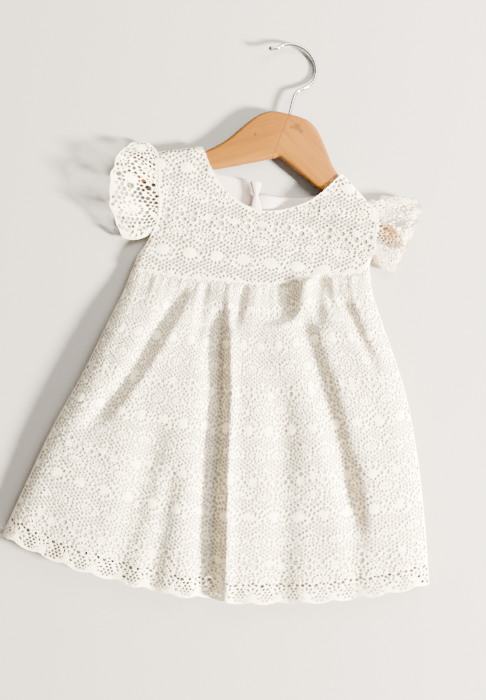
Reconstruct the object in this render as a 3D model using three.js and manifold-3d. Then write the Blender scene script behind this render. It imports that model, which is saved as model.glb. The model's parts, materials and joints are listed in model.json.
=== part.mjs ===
// A baby's lace dress with a jersey lining, lying on its back on a flat surface, with the
// child's wooden hanger still in its shoulders. Millimetres, +Z up, +Y towards the neck.
// The panels are worked out in the dress's own plan, whose zero is the middle of the waist,
// and the whole is then moved so that the centre of its footprint is the origin.

import * as THREE from 'three';
import { mergeGeometries, mergeVertices } from 'three/addons/utils/BufferGeometryUtils.js';
import Module from 'manifold-3d';

const wasm = await Module();
wasm.setup();

// Cloth walls
const LACE = 1.1; // thickness of a lace wall
const LINING = 1.0; // thickness of a jersey wall
const GAP = 0.3; // between two layers
const SEAM_GAP = 0.8; // between two pieces that are sewn edge to edge
const STACK = LACE + GAP + LINING; // a panel with its lining
const LINING_SHORT = 22; // the lining ends this far above the lace hem
const SKIRT_LENGTH = 334; // from the waist seam to the lace hem

// Lace repeat
const ROW = 87; // between two rows of the same motif
const SKIRT_MOTIFS = 16; // across each half of the skirt, every other row half a motif over
const EYE = 3; // half the diagonal of the largest gap in a repeat
const HEM_ROW = 42; // the first row of eyes above the hem
const CHEST_EYES = { y: 52, first: -96.5, step: 28.6, clear: 5 }; // the row across the chest

// Hanger
const ARM_THICK = 12;
const ARM_ROUND = 4; // the edges are rounded by this much
const ARM_EASE = 0.6; // between the arms and the cloth under and over them
const ARM_FLOOR = STACK + ARM_EASE;
const OVER_ARM = ARM_FLOOR + ARM_THICK + ARM_EASE + STACK; // the outside of the cloth over an arm
const HANGER_TURN = THREE.MathUtils.degToRad(-6.5);
const STEM_FOOT = { x: 17.5, y: 171 };
const WIRE = 1.65; // radius of the hook's wire
const KNOB = 2.3; // radius of the bead on its tip

// Closure at the centre back
const BUTTON = { x: 4, y: 76, radius: 5.5, low: 0.2, thick: 1.6, shank: 1.2, shankHigh: 1.4 };
const LOOP = { end: -6.5, endHigh: 2.1, radius: 2.6, high: 2.7, cord: 0.45 };
const BUTTON_LIFT = 5.3; // how far the back panel stands over the button
const LIFT_SPREAD = 15;

// Rounded joins, where the front of the tube turns into the back
const SHOULDER_WRAP = { width: 7, height: 8.6 };
const SIDE_WRAP = { width: 9, height: 7.5 };

// Heights of the bodice's outside
const CHEST = 11;
const AT_WAIST = 15;
const CHEST_RISE = 60; // the chest rises to the waist over this length
const ARM_FALL = 42; // and the cloth falls from an arm to the chest over this one

// One row for each section across the skirt, from the waist seam down
const SKIRT = [
  { at: 0.0, leftX: -126, leftY: -11, rightX: 122, rightY: 24, seam: 7.5, wrap: 9, high: 15 },
  { at: 0.08, leftX: -132, leftY: -36, rightX: 128, rightY: -2, seam: 9, wrap: 14, high: 21 },
  { at: 0.2, leftX: -144, leftY: -71, rightX: 145, rightY: -38, seam: 10, wrap: 18, high: 27 },
  { at: 0.4, leftX: -164, leftY: -130, rightX: 175, rightY: -100, seam: 11, wrap: 22, high: 31 },
  { at: 0.6, leftX: -187, leftY: -188, rightX: 197, rightY: -165, seam: 11, wrap: 24, high: 30 },
  { at: 0.8, leftX: -206, leftY: -246, rightX: 214, rightY: -232, seam: 10, wrap: 24, high: 27 },
  { at: 1.0, leftX: -225, leftY: -307, rightX: 228, rightY: -299, seam: 9, wrap: 20, high: 22 },
];
const HEM_SAG = 42; // the middle of the hem hangs below the line between its corners
const CROWN = 0.2; // the share of its height that the skirt rises from its sides to its middle

// How far the waist seam dips below the line between its ends
const WAIST_DIP = [
  { at: 0.0, dip: 0 },
  { at: 0.12, dip: 6 },
  { at: 0.25, dip: 11 },
  { at: 0.42, dip: 15 },
  { at: 0.6, dip: 18.5 },
  { at: 0.71, dip: 12.5 },
  { at: 0.8, dip: 8.5 },
  { at: 0.93, dip: 7.5 },
  { at: 1.0, dip: 0 },
];

// The skirt's folds. top and bottom are places across it, from and to are places down it,
// height is negative for a trough, and width is half the fold's width.
const FOLDS = [
  { name: 'deep trough', from: 0.03, to: 1.5, top: 0.405, bottom: 0.565, height: -16, width: 7 },
  { name: 'its crest', from: 0.05, to: 1.5, top: 0.445, bottom: 0.605, height: 4, width: 8 },
  { name: 'left slant', from: 0.0, to: 0.85, top: 0.25, bottom: 0.11, height: -7, width: 11 },
  { name: 'short left', from: 0.0, to: 0.12, top: 0.33, bottom: 0.32, height: -4, width: 6 },
  { name: 'waist pocket', from: 0.0, to: 0.14, top: 0.63, bottom: 0.595, height: -6, width: 7 },
  { name: 'raised knuckle', from: 0.0, to: 0.12, top: 0.735, bottom: 0.73, height: 7, width: 11 },
  { name: 'right long', from: 0.06, to: 1.05, top: 0.735, bottom: 0.89, height: -9, width: 9 },
  { name: 'right short', from: 0.0, to: 0.18, top: 0.8, bottom: 0.775, height: -4, width: 7 },
  { name: 'right slant', from: 0.06, to: 0.38, top: 0.88, bottom: 0.965, height: -5, width: 8 },
  { name: 'left flute', from: 0.4, to: 1.6, top: 0.27, bottom: 0.27, height: -6, width: 16 },
  { name: 'middle flute', from: 0.35, to: 1.6, top: 0.65, bottom: 0.7, height: -6, width: 15 },
  { name: 'hem flute', from: 0.6, to: 1.6, top: 0.39, bottom: 0.41, height: -4, width: 12 },
];
const GATHERS = { waves: 10, height: 1.6, reach: 0.22 };

// The bodice's outline: shoulder tips, neck points, and the necklines between them
const LEFT_TIP = { x: -115, y: 114 };
const LEFT_NECK = { x: -69, y: 126 };
const RIGHT_NECK = { x: 81.5, y: 116 };
const RIGHT_TIP = { x: 113, y: 89 };
const FRONT_NECK = [
  { at: 0.0, x: -69, y: 126 },
  { at: 0.15, x: -56, y: 102 },
  { at: 0.35, x: -34, y: 79 },
  { at: 0.54, x: -3, y: 67 },
  { at: 0.68, x: 22, y: 70 },
  { at: 0.86, x: 55, y: 86 },
  { at: 1.0, x: 81.5, y: 116 },
];
const BACK_NECK_LEFT = [
  { at: 0.0, x: -69, y: 126 },
  { at: 0.35, x: -56, y: 104 },
  { at: 0.65, x: -32, y: 99 },
  { at: 1.0, x: -4.4, y: 94 },
];
const BACK_NECK_RIGHT = [
  { at: 0.0, x: -3.8, y: 84 },
  { at: 0.25, x: 20, y: 84.5 },
  { at: 0.6, x: 55, y: 91 },
  { at: 1.0, x: 81.5, y: 116 },
];
const NECK_FROM = 0.22; // places across the bodice where the neckline starts and ends
const NECK_TO = 0.85;
const CENTRE_BACK = 0.48;

// How far the armhole edges leave the straight line from the waist to the shoulder tip
const ARMHOLE = [
  { at: 0.0, left: 0, right: 0 },
  { at: 0.12, left: 3, right: -2 },
  { at: 0.25, left: 10, right: -4 },
  { at: 0.35, left: 14.5, right: -5 },
  { at: 0.45, left: 15.5, right: -5.5 },
  { at: 0.6, left: 13, right: -6 },
  { at: 0.8, left: 7, right: -3 },
  { at: 1.0, left: 0, right: 0 },
];
const ARMHOLE_FADE = 0.2; // across the bodice
const LEFT_ARMPIT = 0.32;
const RIGHT_ARMPIT = 0.14;

// The free edges of the sleeves from the shoulder line to the underarm, and how high they stand
const SLEEVES = {
  left: {
    armpit: LEFT_ARMPIT,
    edge: [
      { at: 0.0, x: -137, y: 122, high: 12, under: 6 },
      { at: 0.2, x: -149, y: 108, high: 25, under: 1 },
      { at: 0.45, x: -156, y: 82, high: 31, under: 0 },
      { at: 0.7, x: -154, y: 50, high: 28, under: 0 },
      { at: 1.0, x: -140, y: 19, high: 9, under: 4 },
    ],
  },
  right: {
    armpit: RIGHT_ARMPIT,
    edge: [
      { at: 0.0, x: 155, y: 101, high: 12, under: 6 },
      { at: 0.2, x: 164, y: 91, high: 26, under: 1 },
      { at: 0.45, x: 162, y: 72, high: 32, under: 0 },
      { at: 0.7, x: 156, y: 46, high: 27, under: 0 },
      { at: 1.0, x: 149, y: 21, high: 9, under: 4 },
    ],
  },
};
const RUFFLE = { waves: 4.5, height: 3 };

// The hanger's arms in its own plan, from the middle out: the top and the underside of an arm
const ARMS = [
  { out: 0, top: 0, under: -46 },
  { out: 12, top: -0.5, under: -51.5 },
  { out: 22, top: -2.5, under: -56.5 },
  { out: 32, top: -9, under: -61 },
  { out: 40, top: -18, under: -65 },
  { out: 48, top: -29, under: -68.5 },
  { out: 57, top: -41.5, under: -72.5 },
  { out: 70, top: -54, under: -78 },
  { out: 90, top: -69, under: -88 },
  { out: 115, top: -81, under: -99 },
  { out: 135, top: -90, under: -107.5 },
  { out: 146, top: -98, under: -109.5 },
];

// The middle of the hook's wire, from the wood to its tip
const HOOK = [
  { x: 17.55, y: 171.4, z: 9 },
  { x: 19.2, y: 187, z: 8.3 },
  { x: 22, y: 196.5, z: 7.4 },
  { x: 30.5, y: 203, z: 5.4 },
  { x: 37.3, y: 210.5, z: 3.5 },
  { x: 39.7, y: 220, z: 2.4 },
  { x: 37.4, y: 231, z: 2.4 },
  { x: 29.5, y: 240.5, z: 3.6 },
  { x: 19.5, y: 245.2, z: 5.4 },
  { x: 9.5, y: 245.8, z: 7.4 },
  { x: 1.5, y: 243, z: 9.4 },
  { x: -4.5, y: 238.3, z: 11.2 },
  { x: -11, y: 236.4, z: 12.6 },
];

const COLOURS = {
  lace: { color: 0xf4f1e8, roughness: 0.9, metalness: 0 },
  lining: { color: 0xf7f3ea, roughness: 0.85, metalness: 0 },
  wood: { color: 0xd29c64, roughness: 0.55, metalness: 0 },
  wire: { color: 0xb9b9b6, roughness: 0.25, metalness: 1 },
  button: { color: 0xf2efe6, roughness: 0.4, metalness: 0 },
};

const clamp = THREE.MathUtils.clamp;
const mix = THREE.MathUtils.lerp;
const smooth = (from, to, value) => THREE.MathUtils.smoothstep(value, from, to);

// A column of a table at a place between its rows, on a smooth curve through them
function read(table, column, at) {
  const last = table.length - 1;
  let i = 0;
  while (i < last - 1 && at > table[i + 1].at) i++;
  const [before, a, b, after] = [i - 1, i, i + 1, i + 2].map((k) => table[clamp(k, 0, last)]);
  const span = b.at - a.at;
  const t = (at - a.at) / span;
  const leave = ((b[column] - before[column]) / (b.at - before.at)) * span;
  const reach = ((after[column] - a[column]) / (after.at - a.at)) * span;
  const ease = t * t * (3 - 2 * t);
  return mix(a[column], b[column], ease) + leave * t * (1 - t) ** 2 - reach * t * t * (1 - t);
}

const pointOn = (table, at) => ({ x: read(table, 'x', at), y: read(table, 'y', at) });
const between = (a, b, t) => ({ x: mix(a.x, b.x, t), y: mix(a.y, b.y, t) });

// A point on a panel's outside, with the height of the seam where it lies in a join
const outside = (x, y, z, seam) => Object.assign(new THREE.Vector3(x, y, z), { seam });

// The quarter turn of a rounded join: 0 at the seam and 1 past the width of the join
const quarter = (share) => Math.sqrt(1 - (1 - clamp(share, 0, 1)) ** 2);

// Places from 0 to 1, closer together in a join at either end, where the cloth turns
function spaced(count, startJoin, endJoin) {
  const turn = [0, 0.1, 0.42, 1];
  const start = startJoin ? turn.map((t) => t * startJoin) : [0];
  const end = endJoin ? turn.map((t) => 1 - t * endJoin).reverse() : [1];
  const [low, high] = [start.at(-1), end[0]];
  const middle = Array.from({ length: count - 1 }, (_, i) => mix(low, high, (i + 1) / count));
  return [...start, ...middle, ...end];
}

// A closed wall between two depths under an outer surface. place(u, v) gives the outside,
// and side is 1 for a panel that faces up and -1 for one that faces down. In a join the
// outside carries the seam's height, which neither panel crosses.
function wall(place, columns, rows, side, from, to) {
  const step = 0.002;
  const point = (u, v, depth) => {
    const [u0, u1] = [Math.max(u - step, columns[0]), Math.min(u + step, columns.at(-1))];
    const [v0, v1] = [Math.max(v - step, rows[0]), Math.min(v + step, rows.at(-1))];
    const across = place(u1, v).sub(place(u0, v));
    const down = place(u, v1).sub(place(u, v0));
    const normal = across.cross(down).normalize();
    if (normal.z * side < 0) normal.negate();
    const skin = place(u, v);
    const { seam } = skin;
    skin.addScaledVector(normal, -depth);
    if (seam !== undefined) skin.z = side * Math.max(side * skin.z, side * seam);
    return skin;
  };
  const positions = [];
  for (const depth of [from, to]) {
    for (const v of rows) for (const u of columns) positions.push(...point(u, v, depth));
  }
  const [m, n] = [columns.length, rows.length];
  const index = [];
  const quad = (a, b, c, d) => index.push(a, b, c, a, c, d);
  const at = (layer, j, i) => layer * m * n + j * m + i;
  for (let j = 0; j < n - 1; j++) {
    for (let i = 0; i < m - 1; i++) {
      quad(at(0, j, i), at(0, j, i + 1), at(0, j + 1, i + 1), at(0, j + 1, i));
      quad(at(1, j, i), at(1, j + 1, i), at(1, j + 1, i + 1), at(1, j, i + 1));
    }
    quad(at(0, j, 0), at(0, j + 1, 0), at(1, j + 1, 0), at(1, j, 0));
    quad(at(0, j, m - 1), at(1, j, m - 1), at(1, j + 1, m - 1), at(0, j + 1, m - 1));
  }
  for (let i = 0; i < m - 1; i++) {
    quad(at(0, 0, i), at(1, 0, i), at(1, 0, i + 1), at(0, 0, i + 1));
    quad(at(0, n - 1, i), at(0, n - 1, i + 1), at(1, n - 1, i + 1), at(1, n - 1, i));
  }
  const geometry = new THREE.BufferGeometry();
  geometry.setAttribute('position', new THREE.Float32BufferAttribute(positions, 3));
  geometry.setIndex(volume(positions, index) < 0 ? index.reverse() : index);
  return geometry;
}

function volume(positions, index) {
  const corner = (k) => new THREE.Vector3().fromArray(positions, 3 * index[k]);
  let sum = 0;
  for (let k = 0; k < index.length; k += 3) {
    sum += corner(k).dot(corner(k + 1).cross(corner(k + 2)));
  }
  return sum / 6;
}

function toSolid(geometry) {
  const bare = geometry.clone();
  bare.deleteAttribute('normal');
  bare.deleteAttribute('uv');
  const merged = mergeVertices(bare, 1e-4);
  return new wasm.Manifold(
    new wasm.Mesh({
      numProp: 3,
      vertProperties: new Float32Array(merged.attributes.position.array),
      triVerts: new Uint32Array(merged.index.array),
    }),
  );
}

function fromSolid(solid) {
  const mesh = solid.getMesh();
  const geometry = new THREE.BufferGeometry();
  geometry.setAttribute('position', new THREE.BufferAttribute(mesh.vertProperties, 3));
  geometry.setIndex(new THREE.BufferAttribute(mesh.triVerts, 1));
  return geometry;
}

// A wall with the largest gaps of its lace cut through, as upright four-sided holes
function pierced(geometry, eyes) {
  const cutters = eyes.map((eye) => {
    const cutter = new THREE.CylinderGeometry(EYE, EYE, 120, 4);
    return cutter.rotateX(Math.PI / 2).translate(eye.x, eye.y, 0);
  });
  return fromSolid(toSolid(geometry).subtract(toSolid(mergeGeometries(cutters))));
}

// Skirt
function foldHeight(u, v, width) {
  let sum = 0;
  for (const fold of FOLDS) {
    const t = (v - fold.from) / (fold.to - fold.from);
    if (t <= 0 || t >= 1) continue;
    const fade = smooth(0, 0.22, t) * (1 - smooth(0.72, 1, t));
    const off = ((u - mix(fold.top, fold.bottom, t)) * width) / fold.width;
    sum += fold.height * fade * Math.exp(-off * off);
  }
  const gathers = Math.sin(2 * Math.PI * GATHERS.waves * u);
  return sum + GATHERS.height * gathers * smooth(0, 0.03, v) * (1 - smooth(0.05, GATHERS.reach, v));
}

function skirtPlan(u, v) {
  const left = { x: read(SKIRT, 'leftX', v), y: read(SKIRT, 'leftY', v) };
  const right = { x: read(SKIRT, 'rightX', v), y: read(SKIRT, 'rightY', v) };
  const { x, y } = between(left, right, u);
  const sag = HEM_SAG * (1 - (2 * u - 1) ** 2);
  const dip = mix(read(WAIST_DIP, 'dip', u), sag, smooth(0, 1, v));
  return { x, y: y - dip, width: right.x - left.x };
}

// The place across the skirt is spread so that the cloth turns round its sides
function skirt(u, v, top) {
  const { x, y, width } = skirtPlan(u, v);
  const wrap = read(SKIRT, 'wrap', v) / width;
  const turned = quarter(Math.min(u, 1 - u) / wrap);
  const seam = read(SKIRT, 'seam', v) + (top ? GAP / 2 : -GAP / 2);
  const joined = turned < 1 ? seam : undefined;
  if (!top) return outside(x, y, seam * (1 - turned), joined);
  const inside = smooth(0.6, 1.6, Math.min(u, 1 - u) / wrap);
  const crown = 1 - CROWN * (2 * u - 1) ** 4;
  const high = read(SKIRT, 'high', v) * crown + foldHeight(u, v, width) * inside;
  return outside(x, y, mix(seam, high, turned), joined);
}

function skirtWalls(top) {
  const side = top ? 1 : -1;
  const place = (u, v) => skirt(u, v, top);
  const liningEnd = 1 - LINING_SHORT / SKIRT_LENGTH;
  const start = SEAM_GAP / 2 / SKIRT_LENGTH;
  const columns = spaced(top ? 4 * GATHERS.waves : 16, 0.05, 0.05);
  const rows = [start, 0.04, 0.12, 0.24, 0.4, 0.58, 0.77, liningEnd];
  const eyes = [];
  for (let row = 0; HEM_ROW + row * ROW < SKIRT_LENGTH - 20; row++) {
    const v = 1 - (HEM_ROW + row * ROW) / SKIRT_LENGTH;
    for (let k = row % 2 ? 2 : 1.5; k < SKIRT_MOTIFS - 1; k++) {
      eyes.push(skirtPlan(k / SKIRT_MOTIFS, v));
    }
  }
  return {
    lace: pierced(wall(place, columns, [...rows, 1], side, 0, LACE), eyes),
    lining: wall(place, columns, rows, side, LACE + GAP, STACK),
  };
}

// Bodice
const inHanger = ({ x, y }) => {
  const p = new THREE.Vector2(x - STEM_FOOT.x, y - STEM_FOOT.y);
  return p.rotateAround(new THREE.Vector2(), -HANGER_TURN);
};

function bodiceHigh(plan) {
  const p = inHanger(plan);
  const out = Math.min(Math.abs(p.x), ARMS.at(-1).out);
  const i = Math.max(1, ARMS.findIndex((row) => row.out >= out));
  const t = (out - ARMS[i - 1].out) / (ARMS[i].out - ARMS[i - 1].out);
  const below = mix(ARMS[i - 1].under, ARMS[i].under, t) - p.y;
  const rest = mix(AT_WAIST, CHEST, smooth(0, CHEST_RISE, plan.y + 10));
  return mix(OVER_ARM, rest, smooth(2, ARM_FALL, below));
}

// The top outline of the bodice at a place across it, front or back
function bodiceTop(u, neck) {
  if (u <= NECK_FROM) return between(LEFT_TIP, LEFT_NECK, u / NECK_FROM);
  if (u >= NECK_TO) return between(RIGHT_NECK, RIGHT_TIP, (u - NECK_TO) / (1 - NECK_TO));
  return neck(u);
}
const frontNeck = (u) => pointOn(FRONT_NECK, (u - NECK_FROM) / (NECK_TO - NECK_FROM));
const leftNeck = (u) => pointOn(BACK_NECK_LEFT, (u - NECK_FROM) / (CENTRE_BACK - NECK_FROM));
const rightNeck = (u) => pointOn(BACK_NECK_RIGHT, (u - CENTRE_BACK) / (NECK_TO - CENTRE_BACK));

function bodicePlan(u, v, neck) {
  const waist = skirtPlan(u, 0);
  waist.y += SEAM_GAP / 2;
  const top = bodiceTop(u, neck);
  const { x, y } = between(waist, top, v);
  const shift =
    read(ARMHOLE, 'left', v) * (1 - smooth(0, ARMHOLE_FADE, u)) +
    -read(ARMHOLE, 'right', v) * smooth(1 - ARMHOLE_FADE, 1, u);
  return { x: x + shift, y };
}

// How far a place lies below the line of the nearer shoulder seam, or of its run past the neck
function fromShoulder({ x, y }) {
  const below = (a, b) =>
    ((b.y - a.y) * (x - a.x) - (b.x - a.x) * (y - a.y)) / Math.hypot(b.x - a.x, b.y - a.y);
  return Math.min(below(LEFT_TIP, LEFT_NECK), below(RIGHT_NECK, RIGHT_TIP));
}

// How far the cloth has turned from the side seams below the armpits, and from the shoulder
// seams. The necklines and the armholes stay open.
function bodiceTurn(u, v, plan) {
  const width = 240;
  const leftClosed = 1 - smooth(LEFT_ARMPIT - 0.1, LEFT_ARMPIT, v);
  const rightClosed = 1 - smooth(RIGHT_ARMPIT - 0.1, RIGHT_ARMPIT, v);
  const left = mix(1, quarter((u * width) / SIDE_WRAP.width), leftClosed);
  const right = mix(1, quarter(((1 - u) * width) / SIDE_WRAP.width), rightClosed);
  return {
    side: Math.min(left, right),
    top: quarter(fromShoulder(plan) / SHOULDER_WRAP.width),
  };
}

function bodice(u, v, top, neck) {
  const plan = bodicePlan(u, v, neck);
  const turn = bodiceTurn(u, v, plan);
  const half = top ? GAP / 2 : -GAP / 2;
  const [side, shoulder] = [SIDE_WRAP.height + half, SHOULDER_WRAP.height + half];
  const off = Math.hypot(plan.x - BUTTON.x, plan.y - BUTTON.y) / LIFT_SPREAD;
  const open = top ? bodiceHigh(plan) : BUTTON_LIFT * Math.exp(-off * off);
  const seam = turn.top < 1 ? shoulder : turn.side < 1 ? side : undefined;
  return outside(plan.x, plan.y, mix(shoulder, mix(side, open, turn.side), turn.top), seam);
}

function bodiceWalls(top, columns, neck) {
  const join = SHOULDER_WRAP.width / 118;
  const middle = [0.07, 0.14, 0.23, 0.32, 0.43, 0.56, 0.7, 0.84];
  const rows = [0, ...middle, ...spaced(1, 0, join).slice(1)];
  const place = (u, v) => bodice(u, v, top, neck);
  const [start, end] = [columns[0], columns.at(-1)].map((u) => bodicePlan(u, 0.5, neck).x);
  const { y, first, step, clear } = CHEST_EYES;
  const eyes = [];
  for (let x = first; x < end - clear; x += step) if (x > start + clear) eyes.push({ x, y });
  const side = top ? 1 : -1;
  return {
    lace: pierced(wall(place, columns, rows, side, 0, LACE), eyes),
    lining: wall(place, columns, rows, side, LACE + GAP, STACK),
  };
}

// Sleeves: u runs from the armhole to the free edge, v from the shoulder line to the underarm
function sleeve(name, u, v, top) {
  const left = name === 'left';
  const { edge, armpit } = SLEEVES[name];
  const across = left ? 0 : 1;
  const seam = bodice(across, mix(1, armpit, v), top, frontNeck);
  const free = pointOn(edge, v);
  const out = left ? -1 : 1;
  const x = mix(seam.x + out * SEAM_GAP, free.x, u);
  const y = mix(seam.y, free.y, u) + 4 * Math.sin(Math.PI * u) * (1 - 2 * v);
  const join = quarter(Math.min(v, 1 - v) / 0.1);
  const wave = RUFFLE.height * Math.sin(2 * Math.PI * RUFFLE.waves * v) * u * u * join;
  const foldHigh = mix(SHOULDER_WRAP.height, 7.5, v) + (top ? GAP / 2 : -GAP / 2);
  const seamHigh = mix(foldHigh, top ? bodiceHigh(seam) : 0, join);
  const spread = Math.max(0, read(edge, top ? 'high' : 'under', v));
  const freeHigh = mix(foldHigh, spread, join) + (top ? wave : 0);
  return outside(x, y, mix(seamHigh, freeHigh, smooth(0, 1, u)), join < 1 ? foldHigh : undefined);
}

function sleeveWall(name, top) {
  const place = (u, v) => sleeve(name, u, v, top);
  const rows = spaced(top ? 9 : 5, 0.1, 0.1);
  const columns = [0, 0.33, 0.67, 1];
  const geometry = wall(place, columns, rows, top ? 1 : -1, 0, LACE);
  const eyes = [0.3, 0.55, 0.8].map((v) => place(0.55, v));
  return pierced(geometry, eyes);
}

// Hanger
function hangerArms() {
  const outline = [
    ...ARMS.map((row) => [row.out, row.top]),
    [ARMS.at(-1).out + 3, (ARMS.at(-1).top + ARMS.at(-1).under) / 2],
    ...ARMS.map((row) => [row.out, row.under]).reverse(),
  ];
  const mirrored = outline.slice(1, -1).map(([x, y]) => [-x, y]).reverse();
  const shape = new THREE.Shape([...outline, ...mirrored].map(([x, y]) => new THREE.Vector2(x, y)));
  const geometry = new THREE.ExtrudeGeometry(shape, {
    depth: ARM_THICK - 2 * ARM_ROUND,
    bevelThickness: ARM_ROUND,
    bevelSize: ARM_ROUND,
    bevelOffset: -ARM_ROUND,
    bevelSegments: 2,
  });
  geometry.rotateZ(HANGER_TURN);
  return geometry.translate(STEM_FOOT.x, STEM_FOOT.y, ARM_FLOOR + ARM_ROUND);
}

function hangerHook() {
  const path = new THREE.CatmullRomCurve3(HOOK.map(({ x, y, z }) => new THREE.Vector3(x, y, z)));
  const section = new THREE.Shape().absarc(0, 0, WIRE, 0, 2 * Math.PI);
  const tube = new THREE.ExtrudeGeometry(section, { steps: 30, curveSegments: 4, extrudePath: path });
  const tip = HOOK.at(-1);
  const knob = new THREE.SphereGeometry(KNOB, 8, 6).translate(tip.x, tip.y, tip.z);
  return fromSolid(toSolid(tube).add(toSolid(knob)));
}

// Closure
function button() {
  const { radius, thick, low, shank, shankHigh } = BUTTON;
  const profile = [
    [0, 0],
    [radius - 0.5, 0],
    [radius, 0.5],
    [radius, thick],
    [shank, thick],
    [shank, thick + shankHigh],
    [0, thick + shankHigh],
  ].map(([r, z]) => new THREE.Vector2(r, z));
  return new THREE.LatheGeometry(profile, 20)
    .rotateX(Math.PI / 2)
    .translate(BUTTON.x, BUTTON.y, low);
}

function buttonLoop() {
  const around = [];
  for (let k = 0; k <= 6; k++) {
    const turn = -2 + (4 * k) / 6;
    const [x, y] = [Math.cos(turn) * LOOP.radius, Math.sin(turn) * LOOP.radius];
    around.push(new THREE.Vector3(BUTTON.x + x, BUTTON.y + y, LOOP.high));
  }
  const end = (dy) => new THREE.Vector3(LOOP.end, BUTTON.y + dy, LOOP.endHigh);
  const path = new THREE.CatmullRomCurve3([end(-0.8), ...around, end(0.8)]);
  const section = new THREE.Shape().absarc(0, 0, LOOP.cord, 0, 2 * Math.PI);
  return new THREE.ExtrudeGeometry(section, { steps: 24, curveSegments: 3, extrudePath: path });
}

// Assembly
const dress = new THREE.Group();
function add(name, geometry, finish) {
  const mesh = new THREE.Mesh(geometry, new THREE.MeshStandardMaterial(COLOURS[finish]));
  mesh.name = name;
  dress.add(mesh);
}

function addPair(name, walls) {
  add(`${name}_lace`, walls.lace, 'lace');
  add(`${name}_lining`, walls.lining, 'lining');
}

const sideJoin = SIDE_WRAP.width / 240;
const across = (from, to, count) =>
  Array.from({ length: count + 1 }, (_, i) => mix(from, to, i / count));
const leftSide = [...spaced(1, sideJoin, 0).slice(0, -1), ...across(0.08, NECK_FROM, 2)];
const rightSide = [...across(NECK_TO, 0.93, 1), ...spaced(1, 0, sideJoin).slice(1)];
const neckStart = [NECK_FROM + 0.012, NECK_FROM + 0.04];
const neckEnd = [NECK_TO - 0.04, NECK_TO - 0.012];
const frontColumns = [
  ...leftSide,
  ...neckStart,
  ...across(NECK_FROM + 0.1, NECK_TO - 0.1, 7),
  ...neckEnd,
  ...rightSide,
];
const centreGap = 0.0015;
const leftColumns = [
  ...leftSide,
  ...neckStart,
  ...across(NECK_FROM + 0.1, CENTRE_BACK - centreGap, 3),
];
const rightColumns = [
  ...across(CENTRE_BACK + centreGap, NECK_TO - 0.1, 4),
  ...neckEnd,
  ...rightSide,
];

addPair('bodice_front', bodiceWalls(true, frontColumns, frontNeck));
addPair('bodice_back_left', bodiceWalls(false, leftColumns, leftNeck));
addPair('bodice_back_right', bodiceWalls(false, rightColumns, rightNeck));
for (const name of ['left', 'right']) {
  add(`sleeve_${name}_upper`, sleeveWall(name, true), 'lace');
  add(`sleeve_${name}_under`, sleeveWall(name, false), 'lace');
}
addPair('skirt_front', skirtWalls(true));
addPair('skirt_back', skirtWalls(false));
add('back_button', button(), 'button');
add('button_loop', buttonLoop(), 'lace');
add('hanger_arms', hangerArms(), 'wood');
add('hanger_hook', hangerHook(), 'wire');

const box = new THREE.Box3().setFromObject(dress);
const middle = box.getCenter(new THREE.Vector3());
dress.position.set(-middle.x, -middle.y, -box.min.z);
const part = new THREE.Group();
part.add(dress);

export default part;
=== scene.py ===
"""A child's lace dress with a jersey lining, lying on its back on a pale surface, with a
child's wooden hanger still in its shoulders.

Cloth is worked out in the dress's own plan, in millimetres: x across, y from the waist
towards the neck, z up from the surface, with its zero at the middle of the waist seam.
The lace is one charted repeat, cut out of each panel as real holes, and laid on the same
forms as the solids of the frame.
"""

import json
import math

import bpy
import numpy as np
from bpy.props import FloatProperty, FloatVectorProperty, PointerProperty
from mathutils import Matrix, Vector
from mathutils.geometry import delaunay_2d_cdt

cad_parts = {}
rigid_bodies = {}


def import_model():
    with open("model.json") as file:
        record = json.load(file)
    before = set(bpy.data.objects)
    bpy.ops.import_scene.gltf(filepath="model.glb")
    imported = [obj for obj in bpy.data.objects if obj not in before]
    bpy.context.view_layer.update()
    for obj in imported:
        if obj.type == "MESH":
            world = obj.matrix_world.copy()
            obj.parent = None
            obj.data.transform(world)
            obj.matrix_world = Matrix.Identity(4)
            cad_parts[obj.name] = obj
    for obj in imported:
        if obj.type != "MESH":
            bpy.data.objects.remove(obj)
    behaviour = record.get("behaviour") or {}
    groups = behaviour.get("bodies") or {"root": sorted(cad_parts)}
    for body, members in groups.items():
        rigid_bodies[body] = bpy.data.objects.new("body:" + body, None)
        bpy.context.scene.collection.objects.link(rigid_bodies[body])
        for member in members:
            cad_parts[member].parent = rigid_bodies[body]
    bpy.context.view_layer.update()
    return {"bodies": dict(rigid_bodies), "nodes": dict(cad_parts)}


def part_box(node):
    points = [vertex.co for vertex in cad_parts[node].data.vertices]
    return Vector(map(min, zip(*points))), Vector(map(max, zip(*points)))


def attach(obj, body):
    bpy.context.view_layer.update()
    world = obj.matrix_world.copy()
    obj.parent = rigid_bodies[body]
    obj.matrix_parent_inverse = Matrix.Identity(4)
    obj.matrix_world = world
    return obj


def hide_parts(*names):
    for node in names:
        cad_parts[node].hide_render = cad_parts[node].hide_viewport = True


bl_info = {
    "name": "Lace dress on a wooden hanger",
    "version": (1, 0, 0),
    "blender": (4, 5, 0),
    "location": "3D View > Sidebar > Lace dress",
    "description": "Builds a child's lace dress that lies flat with a hanger in it",
    "category": "Object",
}

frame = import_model()
BODY = next(iter(frame["bodies"]))
MM = 0.001

# Cloth walls, in millimetres, as in the solids
LACE = 1.1
GAP = 0.3
LINING = 1.0
SEAM_GAP = 0.8
LINING_SHORT = 22
SKIRT_LENGTH = 334

# Hanger in the dress's plan
ARM_THICK = 12
ARM_ROUND = 4
ARM_FLOOR = LACE + GAP + LINING + 0.6
OVER_ARM = ARM_FLOOR + ARM_THICK + 0.6 + LACE + GAP + LINING
HANGER_TURN = math.radians(-6.5)
STEM_FOOT = (17.5, 171)
WIRE = 1.65
KNOB = 2.3

# Closure at the centre back
BUTTON = (4, 76)
BUTTON_LIFT = 5.3
LIFT_SPREAD = 15

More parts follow.
